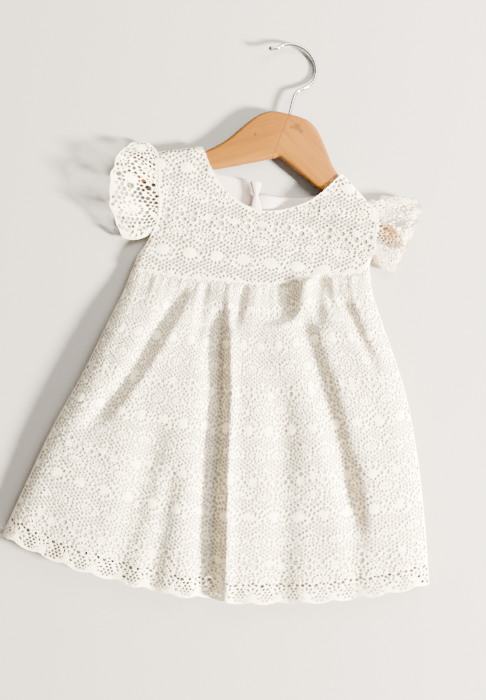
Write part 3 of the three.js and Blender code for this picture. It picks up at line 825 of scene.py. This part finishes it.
# Materials
class Nodes:
    """Short calls for building one material's nodes."""

    def __init__(self, name, **values):
        self.material = bpy.data.materials.new(name)
        self.material.use_nodes = True
        self.tree = self.material.node_tree
        self.shader = self.tree.nodes["Principled BSDF"]
        self.give(self.shader, values)

    def give(self, node, values):
        """Sets a node's inputs, with _ for each space of their names, or else its options."""
        for key, value in values.items():
            if key.replace("_", " ") in node.inputs:
                node.inputs[key.replace("_", " ")].default_value = value
            else:
                setattr(node, key, value)

    def add(self, kind, place=None, **values):
        """A node, which reads a place if one is given."""
        node = self.tree.nodes.new(f"ShaderNode{kind}")
        self.give(node, values)
        if place is not None:
            self.join(place, node.inputs["Vector"])
        return node

    def join(self, start, end):
        self.tree.links.new(start, end)

    def chart(self):
        """The cloth's chart, in metres of flat cloth."""
        return self.add("UVMap", uv_map="chart").outputs[0]

    def place(self):
        """The place on the piece itself, in metres."""
        return self.add("TexCoord").outputs["Object"]

    def math(self, operation, *values):
        """One step of arithmetic on numbers or on what other nodes give."""
        node = self.add("Math", operation=operation)
        for socket, value in zip(node.inputs, values):
            if isinstance(value, (int, float)):
                socket.default_value = value
            else:
                self.join(value, socket)
        return node.outputs[0]

    def ramp(self, part, low, high, start=0.0, end=1.0):
        """A colour between two, as a value goes from start to end."""
        node = self.add("ValToRGB")
        first, last = node.color_ramp.elements
        first.position, last.position = start, end
        first.color, last.color = (*low, 1), (*high, 1)
        self.join(part, node.inputs["Fac"])
        return node.outputs["Color"]

    def over(self, part, below, colour):
        """A colour laid over another as far as a value says."""
        node = self.add("Mix", data_type="RGBA")
        node.inputs[7].default_value = (*colour, 1)
        self.join(part, node.inputs[0])
        self.join(below, node.inputs[6])
        return node.outputs[2]

    def finish(self, colour=None, height=None, strength=0.0, distance=0.0):
        """The material, with its colour and the relief of its surface."""
        if colour is not None:
            self.join(colour, self.shader.inputs["Base Color"])
        if height is not None:
            bump = self.add("Bump", Strength=strength, Distance=distance)
            self.join(height, bump.inputs["Height"])
            self.join(bump.outputs[0], self.shader.inputs["Normal"])
        return self.material


def darker(colour, part):
    """A colour with only a part of its light."""
    return [c * part for c in colour]


def lace_material(settings):
    """Matt cotton thread: a twist along each bar, small loops, a slightly uneven white, and painted
    shade where the in_shade mark is set.
    """
    nodes = Nodes(
        "lace_cotton", Roughness=0.88, Sheen_Weight=0.25, Sheen_Roughness=0.5,
        Specular_IOR_Level=0.2,
    )
    chart = nodes.chart()
    patch = nodes.add("TexNoise", chart, Scale=55.0, Detail=3.0).outputs["Fac"]
    white = nodes.ramp(patch, darker(settings.lace_colour, 0.95), settings.lace_colour, 0.3, 0.75)
    # Painted shade: where the in_shade mark is set, the thread takes the darker shaded colour
    inner = nodes.add("Attribute", attribute_name="in_shade").outputs["Fac"]
    loops = nodes.add("TexVoronoi", chart, Scale=620.0, feature="SMOOTH_F1").outputs["Distance"]
    twist = nodes.add("TexWave", chart, Scale=420.0, Distortion=6.0, Detail=2.0)
    twist.bands_direction = "DIAGONAL"
    height = nodes.math("ADD", loops, twist.outputs["Fac"])
    return nodes.finish(nodes.over(inner, white, settings.shaded_colour), height, 0.6, 0.0006)


def jersey(name, colour):
    """Smooth cotton jersey: fine upright ribs of knit and a soft sheen."""
    nodes = Nodes(name, Roughness=0.8, Sheen_Weight=0.2, Specular_IOR_Level=0.25)
    chart = nodes.chart()
    ribs = nodes.add("TexWave", chart, Scale=320.0, Distortion=0.6, Detail=1.0)
    ribs.bands_direction = "X"
    rows = nodes.add("TexWave", chart, Scale=260.0, Distortion=0.8, Detail=1.0)
    rows.bands_direction = "Y"
    height = nodes.math("MULTIPLY", ribs.outputs["Fac"], rows.outputs["Fac"])
    tint = nodes.add("TexNoise", chart, Scale=30.0, Detail=2.0).outputs["Fac"]
    return nodes.finish(nodes.ramp(tint, darker(colour, 0.96), colour), height, 0.3, 0.0002)


def jersey_material(settings):
    """The lining where it shows by itself."""
    return jersey("cotton_jersey", settings.lining_colour)


def shaded_jersey_material(settings):
    """The lining behind the lace, with painted shade: a darker colour in place of the shade of its
    threads.
    """
    return jersey("shaded_jersey", settings.shaded_colour)


def skirt_shaded_jersey_material(settings):
    """The skirt's lining with painted shade, lighter than the bodice's, behind finer lace that lets
    more light through.
    """
    return jersey("skirt_shaded_jersey", settings.skirt_shaded_colour)


# Wood: turns of the grain in the left and right arm and of the glued joint, in degrees, the
# grain's size along, across and up and half the joint's width, in metres, and knots by place
# from the hook's foot and size, in millimetres, with how much wider their dark rim goes
GRAIN_TURNS = (24, -42)
GLUE_TURN = -14
GRAIN_SIZE = (0.16, 0.012, 0.03)
GLUE_HALF = 0.00035
KNOTS = ((9.5, -13.5, 2.1), (14.0, -17.5, 1.3), (4.0, -14.5, 1.0), (-33, -27, 0.9))
KNOT_SPREAD = 2.6


def wood_material(settings):
    """Varnished wood: grain along each arm, a glued joint in the middle and small knots."""
    nodes = Nodes(
        "varnished_wood", Roughness=0.55, Coat_Weight=0.03, Coat_Roughness=0.3,
        Specular_IOR_Level=0.18,
    )
    place = nodes.place()
    foot = (Vector((*STEM_FOOT, 0)) + Vector(SHIFT)) * MM

    def turned(degrees, **values):
        turn = (0, 0, math.radians(degrees))
        return nodes.add(
            "Mapping", place, vector_type="TEXTURE", Location=foot, Rotation=turn, **values
        ).outputs[0]

    axes = nodes.add("SeparateXYZ", turned(GLUE_TURN))
    arms = nodes.add("Mix", data_type="FLOAT")
    nodes.join(nodes.math("GREATER_THAN", axes.outputs["X"], 0.0), arms.inputs[0])
    for turn, socket in zip(GRAIN_TURNS, (arms.inputs[2], arms.inputs[3])):
        along = turned(turn, Scale=GRAIN_SIZE)
        grain = nodes.add(
            "TexNoise", along, Scale=1.6, Detail=7.0, Roughness=0.62, Distortion=0.8
        )
        nodes.join(grain.outputs["Fac"], socket)
    grain = arms.outputs[0]
    colour = nodes.ramp(grain, settings.wood_dark, settings.wood_light, 0.3, 0.72)
    line = nodes.math("LESS_THAN", nodes.math("ABSOLUTE", axes.outputs["X"]), GLUE_HALF)
    colour = nodes.over(nodes.math("MULTIPLY", line, 0.7), colour, darker(settings.wood_dark, 0.35))
    for x, y, size in KNOTS:
        spot = foot + Vector((x, y, ARM_FLOOR + ARM_THICK)) * MM
        gap = nodes.add("VectorMath", place, operation="DISTANCE")
        gap.inputs[1].default_value = spot
        near = nodes.add(
            "MapRange", interpolation_type="SMOOTHSTEP", To_Min=0.6, To_Max=0.0,
            From_Min=size * MM, From_Max=size * KNOT_SPREAD * MM,
        )
        nodes.join(gap.outputs["Value"], near.inputs["Value"])
        colour = nodes.over(near.outputs[0], colour, darker(settings.wood_dark, 0.4))
    return nodes.finish(colour, grain, 0.12, 0.0004)


def wire_material(settings):
    """Polished wire with faint drawing marks."""
    nodes = Nodes("polished_wire", Metallic=1.0, Base_Color=(*settings.wire_colour, 1))
    marks = nodes.add("TexNoise", nodes.place(), Scale=900.0, Detail=2.0)
    rough = nodes.add("MapRange", To_Min=0.05, To_Max=0.13)
    nodes.join(marks.outputs["Fac"], rough.inputs["Value"])
    nodes.join(rough.outputs[0], nodes.shader.inputs["Roughness"])
    return nodes.finish()


# Darkest and lightest of the button's clouds
PEARL_DARK = (0.82, 0.79, 0.73)
PEARL_LIGHT = (0.93, 0.91, 0.87)


def button_material(settings):
    """Moulded, slightly pearly plastic."""
    nodes = Nodes("pearly_plastic", Roughness=0.3, Coat_Weight=0.3)
    clouds = nodes.add("TexNoise", nodes.place(), Scale=220.0, Detail=3.0, Distortion=1.5)
    return nodes.finish(nodes.ramp(clouds.outputs["Fac"], PEARL_DARK, PEARL_LIGHT))


def loop_material(settings):
    """Twisted thread of the button loop."""
    nodes = Nodes("loop_thread", Roughness=0.85, Base_Color=(*settings.lace_colour, 1))
    twist = nodes.add("TexWave", nodes.place(), Scale=900.0, Distortion=1.0)
    twist.bands_direction = "DIAGONAL"
    return nodes.finish(height=twist.outputs["Fac"], strength=0.5, distance=0.0002)


def finished(piece, material, slot, *replaced):
    """Gives a piece its finish, sets it on the body and hides the solids it stands for."""
    piece.data.materials.clear()
    piece.data.materials.append(material)
    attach(piece, BODY)
    if replaced:
        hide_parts(*replaced)
    return piece


def made(name, build, settings):
    """A material of this scene, made once."""
    return bpy.data.materials.get(name) or build(settings)


# Sizes and colours that a user would change
class LaceDressSettings(bpy.types.PropertyGroup):
    lace_colour: FloatVectorProperty(
        name="Lace", description="Colour of the lace's thread", subtype="COLOR",
        size=3, min=0, max=1, default=(0.97, 0.83, 0.585),
    )
    lining_colour: FloatVectorProperty(
        name="Lining", description="Colour of the jersey lining", subtype="COLOR",
        size=3, min=0, max=1, default=(0.6, 0.49, 0.38),
    )
    # Painted shade: a darker colour for the lining behind the lace, in place of the shade its threads
    # cast, and for the inner side of the lace on panels that face down
    shaded_colour: FloatVectorProperty(
        name="Lining in shade", description="Colour of the jersey between the lace's threads",
        subtype="COLOR", size=3, min=0, max=1, default=(0.34, 0.3, 0.225),
    )
    # Painted shade, lighter, for the lining behind the skirt's finer lace
    skirt_shaded_colour: FloatVectorProperty(
        name="Skirt lining in shade", description="The same behind the skirt's finer lace",
        subtype="COLOR", size=3, min=0, max=1, default=(0.48, 0.42, 0.32),
    )
    wood_light: FloatVectorProperty(
        name="Light grain", description="Lighter colour of the hanger's wood", subtype="COLOR",
        size=3, min=0, max=1, default=(0.19, 0.07, 0.002),
    )
    wood_dark: FloatVectorProperty(
        name="Dark grain", description="Darker colour of the hanger's wood", subtype="COLOR",
        size=3, min=0, max=1, default=(0.125, 0.041, 0.001),
    )
    wire_colour: FloatVectorProperty(
        name="Wire", description="Colour of the hook's metal", subtype="COLOR",
        size=3, min=0, max=1, default=(0.27, 0.265, 0.26),
    )
    scallop: FloatProperty(
        name="Scallop", description="How far the hem's scallops stand out",
        subtype="DISTANCE", unit="LENGTH", default=0.0034, min=0.0, max=0.01,
    )
    floor_colour: FloatVectorProperty(
        name="Surface", description="Colour of the surface under the dress", subtype="COLOR",
        size=3, min=0, max=1, default=(0.36, 0.322, 0.275),
    )
    key_power: FloatProperty(
        name="Window light", description="Power of the low light from the right, in watts",
        default=1680.0, min=0.0, max=5000.0,
    )
    ceiling_power: FloatProperty(
        name="Ceiling light", description="Power of the soft light above the neck, in watts",
        default=70.0, min=0.0, max=500.0,
    )
    sky: FloatProperty(
        name="Room light", description="Brightness of the light from all round",
        default=0.5, min=0.0, max=5.0,
    )
    camera_height: FloatProperty(
        name="Camera height", description="Height of the camera over the dress",
        subtype="DISTANCE", unit="LENGTH", default=0.9, min=0.3, max=3.0,
    )


def settings_of(context):
    return context.scene.lace_dress


# Outlines of the panels

# Points to a repeat along the hem and along a side, how round a scallop is, how much of it
# lies under the chart's foot, a picot's height, step and the same share, and points along a
# bodice panel's width, side and neck
HEM_POINTS = 9
SIDE_POINTS = 99
SCALLOP_ROUND = 0.7
SCALLOP_DOWN = 0.62
PICOT = 0.7
PICOT_STEP = 3.1
PICOT_DOWN = 0.6
BODICE_POINTS = (60, 34, 200)


def skirt_outline(scallop):
    """Sides and waist of the skirt's chart, with one scallop to each repeat at its hem."""
    xs = np.linspace(0, SKIRT_WIDTH, SKIRT_MOTIFS * HEM_POINTS + 1)
    lobes = np.abs(np.cos(math.pi * xs / REPEAT)) ** SCALLOP_ROUND
    hem = np.stack([xs, scallop * (SCALLOP_DOWN - lobes)], axis=1)
    rise = np.linspace(0, SKIRT_LENGTH, SIDE_POINTS + 1)[1:]
    right = np.stack([np.full(SIDE_POINTS, float(SKIRT_WIDTH)), rise], axis=1)
    waist = np.stack([xs[::-1], np.full(len(xs), float(SKIRT_LENGTH))], axis=1)[1:]
    left = np.stack([np.zeros(SIDE_POINTS - 1), rise[:-1][::-1]], axis=1)
    return np.concatenate([hem, right, waist, left])


def bodice_outline(neck, start, end, picot):
    """The edge of a bodice panel in its plan, from the waist's left end round, with a row
    of picots along its top."""
    wide, high, round_neck = BODICE_POINTS
    across = np.linspace(start, end, wide)
    up = np.linspace(0, 1, high)
    fine = np.linspace(max(start, NECK_FROM), min(end, NECK_TO), round_neck)
    tops = np.unique(np.concatenate([across, fine]))
    waist = np.stack(bodice_plan(across, 0, neck), axis=1)
    right = np.stack(bodice_plan(end, up, neck), axis=1)[1:]
    top = np.stack(bodice_plan(tops[::-1], 1, neck), axis=1)[1:]
    top[:, 1] += picot * (np.abs(np.sin(top[:, 0] * math.pi / PICOT_STEP)) - PICOT_DOWN)
    left = np.stack(bodice_plan(start, up[::-1], neck), axis=1)[1:-1]
    return np.concatenate([waist, right, top, left])


# A sleeve's free edge: height of its scallops and how far they start inside its width
SLEEVE_WAVE = 1.2
SLEEVE_IN = 0.4


def sleeve_outline():
    """Seam, ends and free edge of a sleeve, with two small scallops to a repeat."""
    along = np.linspace(0, SLEEVE_LONG, 37)
    out = np.linspace(0, SLEEVE_OUT, 15)
    wave = SLEEVE_WAVE * np.abs(np.sin(math.pi * along / (REPEAT / 2)))
    seam = np.stack([along, np.zeros(len(along))], axis=1)
    low = np.stack([np.full(len(out) - 1, float(SLEEVE_LONG)), out[1:]], axis=1)
    free = np.stack([along[::-1], SLEEVE_OUT - SLEEVE_IN + wave[::-1]], axis=1)[1:]
    high = np.stack([np.zeros(len(out) - 2), out[1:-1][::-1]], axis=1)
    return np.concatenate([seam, low, free, high])


# Operators, one for each group of pieces, after what each of them needs

# The skirt's front is finer than its back: corners of a hole's rim and distance of points in
# plain cloth. Its linings are grids, and its lace has an inner side below a line a little
# over their hems.
SKIRT_SIDES = (("front", True, 8, 3.2), ("back", False, 6, 4.5))
LINING_GRID = (180, 90)
INNER_OVER = 2


def skirt_holes():
    """The whole chart of a skirt panel: the hem's holes, the large ones and the net."""
    first = REPEAT / 2
    big, solid = charted(SKIRT_WIDTH, HEM_ROW, SKIRT_LENGTH, first - REPEAT, REPEAT)
    big = [h for h in big if h[1] > HEM_HIGH]
    hem, shells = hem_holes(first, REPEAT, range(-1, SKIRT_MOTIFS + 1))
    big = hem + big
    area = (0, SKIRT_WIDTH, 2, SKIRT_LENGTH)
    return big + net_holes(area, big, solid + shells, lean=-1)


class DRESS_OT_skirt(bpy.types.Operator):
    """Makes the lace and the lining of the skirt, front and back"""

    bl_idname = "dress.skirt"
    bl_label = "Skirt"

    def execute(self, context):
        settings = settings_of(context)
        lace = made("lace_cotton", lace_material, settings)
        shaded = made("skirt_shaded_jersey", skirt_shaded_jersey_material, settings)
        outline = skirt_outline(settings.scallop / MM)
        holes = skirt_holes()
        xs = np.linspace(0, SKIRT_WIDTH, LINING_GRID[0])
        ys = np.linspace(LINING_SHORT, SKIRT_LENGTH - SEAM_GAP / 2, LINING_GRID[1])
        for name, top, sides, spacing in SKIRT_SIDES:
            form, side = skirt_form(top), 1 if top else -1
            panel = lace_panel(
                f"skirt_{name}_lace_net", outline, holes, form, side, sides, spacing,
                backed=LINING_SHORT + INNER_OVER,
            )
            finished(panel, lace, "lace", f"skirt_{name}_lace")
            lining = grid_lining(f"skirt_{name}_jersey", form, xs, ys, side)
            # Both skirt linings get the painted shade of the lace over them
            finished(lining, shaded, "jersey", f"skirt_{name}_lining")
        return {"FINISHED"}


# The bodice's chart is laid on its plan: a motif's middle, how far the repeats are apart,
# the height of their row, repeats to the left of the first, the chart's height, and the
# net's edges left, right, below and above
CHEST_FIRST = -10.8
CHEST_STEP = 28.6
CHEST_ROW = 51.5
CHEST_BEFORE = 5
CHEST_HIGH = 140
CHEST_NET = (-130, 135, -25, 130)


def bodice_holes():
    """The whole chart of the bodice, in its plan."""
    wide = CHEST_NET[1] - CHEST_NET[0]
    start = CHEST_FIRST - CHEST_BEFORE * CHEST_STEP - CHEST_STEP / 2
    big, solid = charted(wide, CHEST_ROW - ROW, CHEST_HIGH, start, CHEST_STEP, CHEST_SOLID)
    return big + net_holes(CHEST_NET, big, solid)


class DRESS_OT_bodice(bpy.types.Operator):
    """Makes the lace and the lining of the bodice, front and both back halves"""

    bl_idname = "dress.bodice"
    bl_label = "Bodice"

    def execute(self, context):
        settings = settings_of(context)
        lace = made("lace_cotton", lace_material, settings)
        plain = made("cotton_jersey", jersey_material, settings)
        shaded = made("shaded_jersey", shaded_jersey_material, settings)
        holes = bodice_holes()
        panels = (
            ("bodice_front", True, FRONT, 0, 1, 8),
            ("bodice_back_left", False, BACK_LEFT, 0, CENTRE_BACK - CENTRE_GAP, 6),
            ("bodice_back_right", False, BACK_RIGHT, CENTRE_BACK + CENTRE_GAP, 1, 6),
        )
        for name, top, neck, start, end, sides in panels:
            form, side = bodice_form(top), 1 if top else -1
            edge = bodice_outline(neck, start, end, PICOT)
            panel = lace_panel(f"{name}_lace_net", edge, holes, form, side, sides)
            finished(panel, lace, "lace", f"{name}_lace")
            outline = bodice_outline(neck, start, end, 0)
            inner = under(form, LINING_DEPTH, side)
            lining = thickened(lace_panel(f"{name}_jersey", outline, [], inner, side))
            # The front lining gets the painted shade of the lace over it; the back halves get the
            # plain colour
            finished(lining, shaded if top else plain, "jersey", f"{name}_lining")
        return {"FINISHED"}


def under(form, depth, side):
    """A form set in by a depth, for a layer that lies beneath another."""

    def inner(x, y):
        skin = form(x, y)
        points = sunk(form, x, y, np.full(len(x), depth), side)
        return np.concatenate([points, skin[:, 3:]], axis=1)

    return inner


# Pinched tuck of the left back half's edge, in the dress's plan: its ends, width, the part of
# the width left where it is pinched and how far down that is, its height over the floor
# under it, the creases on it, and its cut, wider than it lies and not square
TUCK_TOP = (-8.4, 96)
TUCK_FOOT = (-4.6, 67)
TUCK_WIDTH = 12.4
TUCK_PINCH = 0.4
TUCK_WAIST = 0.46
TUCK_HIGH = 2.6
TUCK_FLOOR = 8.2
TUCK_CREASE = 0.15
TUCK_GRID = (13, 29)


class DRESS_OT_tuck(bpy.types.Operator):
    """Makes the pinched tuck inside the back of the neck"""

    bl_idname = "dress.tuck"
    bl_label = "Tuck"

    def execute(self, context):
        plain = made("cotton_jersey", jersey_material, settings_of(context))
        (top_x, top_y), (foot_x, foot_y) = TUCK_TOP, TUCK_FOOT
        across, down = TUCK_GRID
        s, t = np.meshgrid(np.linspace(-1, 1, across), np.linspace(0, 1, down))
        s, t = s.ravel(), t.ravel()
        near = np.minimum(np.abs(t - TUCK_WAIST) / 0.5, 1)
        wide = TUCK_WIDTH / 2 * (TUCK_PINCH + (1 - TUCK_PINCH) * near**0.8)
        crease = TUCK_CREASE * np.cos(3 * math.pi * s) * (1 - near * 0.6)
        z = TUCK_FLOOR + TUCK_HIGH * np.sqrt(np.maximum(0, 1 - s * s)) + crease
        points = np.stack([mix(top_x, foot_x, t) + s * wide, mix(top_y, foot_y, t), z], axis=1)
        flat = np.stack([s * TUCK_WIDTH / 2, t * (top_y - foot_y)], axis=1)
        piece = cloth_object("back_neck_tuck", points, grid_faces(across, down), flat, 1)
        finished(piece, plain, "jersey")
        return {"FINISHED"}


class DRESS_OT_sleeves(bpy.types.Operator):
    """Makes the flutter sleeves"""

    bl_idname = "dress.sleeves"
    bl_label = "Sleeves"

    def execute(self, context):
        lace = made("lace_cotton", lace_material, settings_of(context))
        big, solid = charted(SLEEVE_OUT, SLEEVE_ROW, SLEEVE_LONG, SLEEVE_COLUMN, REPEAT)
        big = [(y, x, h, w, -turn) for x, y, w, h, turn in big]
        solid = [(y, x, ry, rx) for x, y, rx, ry in solid]
        net = net_holes((0, SLEEVE_LONG, 0, SLEEVE_OUT), big, solid)
        for name in ("left", "right"):
            for layer, top in (("upper", True), ("under", False)):
                side = 1 if top else -1
                node = f"sleeve_{name}_{layer}"
                panel = lace_panel(
                    f"{node}_net", sleeve_outline(), big + net, sleeve_form(name, top), side,
                )
                finished(panel, lace, "lace", node)
        return {"FINISHED"}


def smooth_path(points, steps=10):
    """A smooth curve through points, drawn as a Catmull-Rom spline."""
    points = np.array(points, float)
    ends = np.vstack([2 * points[0] - points[1], points, 2 * points[-1] - points[-2]])
    path = []
    for i in range(1, len(ends) - 2):
        p0, p1, p2, p3 = ends[i - 1 : i + 3]
        for k in range(steps):
            t = k / steps
            path.append(
                0.5
                * (
                    2 * p1
                    + (p2 - p0) * t
                    + (2 * p0 - 5 * p1 + 4 * p2 - p3) * t * t
                    + (3 * p1 - p0 - 3 * p2 + p3) * t**3
                )
            )
    return np.array([*path, points[-1]])


def curve_object(name, points, closed, flat=False):
    """A curve through points in millimetres of the dress's plan."""
    curve = bpy.data.curves.new(name, "CURVE")
    curve.dimensions = "2D" if flat else "3D"
    spline = curve.splines.new("POLY")
    spline.points.add(len(points) - 1)
    for point, place in zip(spline.points, points):
        point.co = (*((np.array(place) + SHIFT) * MM), 1)
    spline.use_cyclic_u = closed
    piece = bpy.data.objects.new(name, curve)
    bpy.context.scene.collection.objects.link(piece)
    return piece


def curve_to_mesh(piece):
    only(piece)
    bpy.ops.object.convert(target="MESH")
    return bpy.context.view_layer.objects.active


# The rounded end of an arm goes ARM_CAP past its table, and the bead on the wire's end is a
# little longer than wide
ARM_CAP = 3
BEAD = (1.15, 0.95, 0.95)


class DRESS_OT_hanger(bpy.types.Operator):
    """Makes the wooden arms and the wire hook"""

    bl_idname = "dress.hanger"
    bl_label = "Hanger"

    def execute(self, context):
        settings = settings_of(context)
        finished(self.arms(), made("varnished_wood", wood_material, settings), "wood", "hanger_arms")
        finished(self.hook(), made("polished_wire", wire_material, settings), "wire", "hanger_hook")
        return {"FINISHED"}

    def arms(self):
        table = {"at": ARMS["out"], **ARMS}
        outs = np.concatenate([np.linspace(0, 60, 25), np.linspace(64, ARMS["out"][-1], 16)])
        top = np.stack([outs, read(table, "top", outs)], axis=1)
        under = np.stack([outs, read(table, "under", outs)], axis=1)
        mid = (top[-1] + under[-1]) / 2
        tall = (top[-1] - under[-1])[1] / 2
        turns = [math.radians(t) for t in np.linspace(90, -90, 9)[1:-1]]
        cap = [(mid[0] + ARM_CAP * math.cos(t), mid[1] + tall * math.sin(t)) for t in turns]
        half = [*top, *cap, *under[::-1]]
        outline = [*half, *[(-x, y) for x, y in half[::-1]][1:-1]]
        c, s = math.cos(HANGER_TURN), math.sin(HANGER_TURN)
        high = ARM_FLOOR + ARM_THICK / 2
        points = [
            (STEM_FOOT[0] + c * x - s * y, STEM_FOOT[1] + s * x + c * y, 0) for x, y in outline
        ]
        piece = curve_object("hanger_wood", points, True, flat=True)
        piece.data.fill_mode = "BOTH"
        piece.data.extrude = (ARM_THICK / 2 - ARM_ROUND) * MM
        piece.data.bevel_depth = ARM_ROUND * MM
        piece.data.bevel_resolution = 4
        piece.data.offset = -ARM_ROUND * MM
        piece.location.z = high * MM
        piece = curve_to_mesh(piece)
        only(piece)
        bpy.ops.object.transform_apply(location=True)
        bpy.ops.object.mode_set(mode="EDIT")
        bpy.ops.mesh.select_all(action="SELECT")
        bpy.ops.mesh.remove_doubles(threshold=0.00002)
        bpy.ops.mesh.normals_make_consistent(inside=False)
        bpy.ops.object.mode_set(mode="OBJECT")
        bpy.ops.object.shade_smooth_by_angle(angle=math.radians(35))
        return piece

    def hook(self):
        piece = curve_object("hanger_wire_hook", smooth_path(HOOK), False)
        piece.data.bevel_depth = WIRE * MM
        piece.data.bevel_resolution = 6
        piece.data.use_fill_caps = True
        piece = curve_to_mesh(piece)
        tip = (np.array(HOOK[-1]) + SHIFT) * MM
        only(piece)
        bpy.ops.mesh.primitive_uv_sphere_add(
            radius=KNOB * MM, location=tip, segments=24, ring_count=14
        )
        bead = bpy.context.object
        bead.scale = BEAD
        bpy.ops.object.transform_apply(location=True, rotation=False, scale=True)
        only(piece)
        bead.select_set(True)
        bpy.ops.object.join()
        piece.data.shade_smooth()
        return piece


class DRESS_OT_closure(bpy.types.Operator):
    """Finishes the button and its loop at the centre back"""

    bl_idname = "dress.closure"
    bl_label = "Closure"

    def execute(self, context):
        settings = settings_of(context)
        for node, material in (
            ("back_button", made("pearly_plastic", button_material, settings)),
            ("button_loop", made("loop_thread", loop_material, settings)),
        ):
            piece = frame["nodes"][node]
            for slot in piece.material_slots:
                slot.material = material
        return {"FINISHED"}


# Stage, light and camera

# The picture shows the dress turned a little clockwise. Places and sizes of the surface and
# the lamps are in metres.
PICTURE = (486, 700)
PICTURE_MM = 1.045 * PICTURE[1]
CAMERA_TURN = math.radians(7.5)
PICTURE_MIDDLE = (1.3, -82.0)
CAMERA_FOOT_DOWN = 45
MEAN_HIGH = 18
LIGHT_FROM = (0.982, -0.183)
LIGHT_RISE = math.radians(27)
LIGHT_FAR = 3.2
LIGHT_SIZE = 0.55
LIGHT_COLOUR = (1.0, 0.975, 0.925)
CEILING_PLACE = (0.75, 0.9, 1.1)
CEILING_SIZE = 0.9
ROOM_COLOUR = (0.97, 0.985, 1.0, 1)
SURFACE_SIZE = 6
SURFACE_UNDER = 0.0004


class DRESS_OT_stage(bpy.types.Operator):
    """Makes the surface, the light and the camera"""

    bl_idname = "dress.stage"
    bl_label = "Stage"

    def execute(self, context):
        settings = settings_of(context)
        self.surface(settings)
        self.lights(context, settings)
        self.camera(context, settings)
        return {"FINISHED"}

    def surface(self, settings):
        bpy.ops.object.select_all(action="DESELECT")
        bpy.ops.mesh.primitive_plane_add(size=SURFACE_SIZE, location=(0, 0, -SURFACE_UNDER))
        floor = bpy.context.object
        floor.name = "surface"
        bpy.ops.object.transform_apply(location=True)
        nodes = Nodes("pale_surface", Roughness=0.75, Base_Color=(*settings.floor_colour, 1))
        floor.data.materials.append(nodes.finish())

    def lights(self, context, settings):
        rise = LIGHT_RISE
        window = Vector((*[c * math.cos(rise) for c in LIGHT_FROM], math.sin(rise))) * LIGHT_FAR
        ceiling = Vector(CEILING_PLACE)
        self.lamp("window_light", window, LIGHT_SIZE, settings.key_power, LIGHT_COLOUR)
        self.lamp("ceiling_light", ceiling, CEILING_SIZE, settings.ceiling_power, (1, 1, 1))
        world = bpy.data.worlds.new("room")
        world.use_nodes = True
        back = world.node_tree.nodes["Background"]
        back.inputs["Color"].default_value = ROOM_COLOUR
        back.inputs["Strength"].default_value = settings.sky
        context.scene.world = world

    def lamp(self, name, place, size, power, colour):
        data = bpy.data.lights.new(name, "AREA")
        data.shape = "DISK"
        data.size = size
        data.energy = power
        data.color = colour
        lamp = bpy.data.objects.new(name, data)
        lamp.location = place
        lamp.rotation_euler = (-place).to_track_quat("-Z", "Y").to_euler()
        bpy.context.scene.collection.objects.link(lamp)

    def camera(self, context, settings):
        data = bpy.data.cameras.new("camera")
        camera = bpy.data.objects.new("camera", data)
        height = settings.camera_height
        middle = (np.array([*PICTURE_MIDDLE, 0.0]) + SHIFT) * MM
        down = Vector((math.sin(CAMERA_TURN), -math.cos(CAMERA_TURN), 0))
        foot = Vector(middle) + down * CAMERA_FOOT_DOWN * MM
        camera.location = foot + Vector((0, 0, height + MEAN_HIGH * MM))
        camera.rotation_euler = (0, 0, CAMERA_TURN)
        data.sensor_fit = "AUTO"
        data.lens = data.sensor_width * height / (PICTURE_MM * MM)
        data.shift_y = CAMERA_FOOT_DOWN / PICTURE_MM
        data.clip_start, data.clip_end = 0.05, 20
        context.scene.collection.objects.link(camera)
        context.scene.camera = camera


class DRESS_PT_panel(bpy.types.Panel):
    """Lists the steps that make the dress"""

    bl_label = "Lace dress"
    bl_idname = "DRESS_PT_panel"
    bl_space_type = "VIEW_3D"
    bl_region_type = "UI"
    bl_category = "Lace dress"

    def draw(self, context):
        layout = self.layout
        for operator in STEPS:
            layout.operator(operator.bl_idname)
        settings = settings_of(context)
        for name in LaceDressSettings.__annotations__:
            layout.prop(settings, name)


STEPS = (
    DRESS_OT_skirt,
    DRESS_OT_bodice,
    DRESS_OT_tuck,
    DRESS_OT_sleeves,
    DRESS_OT_hanger,
    DRESS_OT_closure,
    DRESS_OT_stage,
)
CLASSES = (LaceDressSettings, *STEPS, DRESS_PT_panel)


def register():
    for each in CLASSES:
        bpy.utils.register_class(each)
    bpy.types.Scene.lace_dress = PointerProperty(type=LaceDressSettings)


def unregister():
    del bpy.types.Scene.lace_dress
    for each in reversed(CLASSES):
        bpy.utils.unregister_class(each)


def main():
    register()
    bpy.ops.dress.skirt()
    bpy.ops.dress.bodice()
    bpy.ops.dress.tuck()
    bpy.ops.dress.sleeves()
    bpy.ops.dress.hanger()
    bpy.ops.dress.closure()
    bpy.ops.dress.stage()
    bpy.context.view_layer.update()


if __name__ == "__main__":
    main()
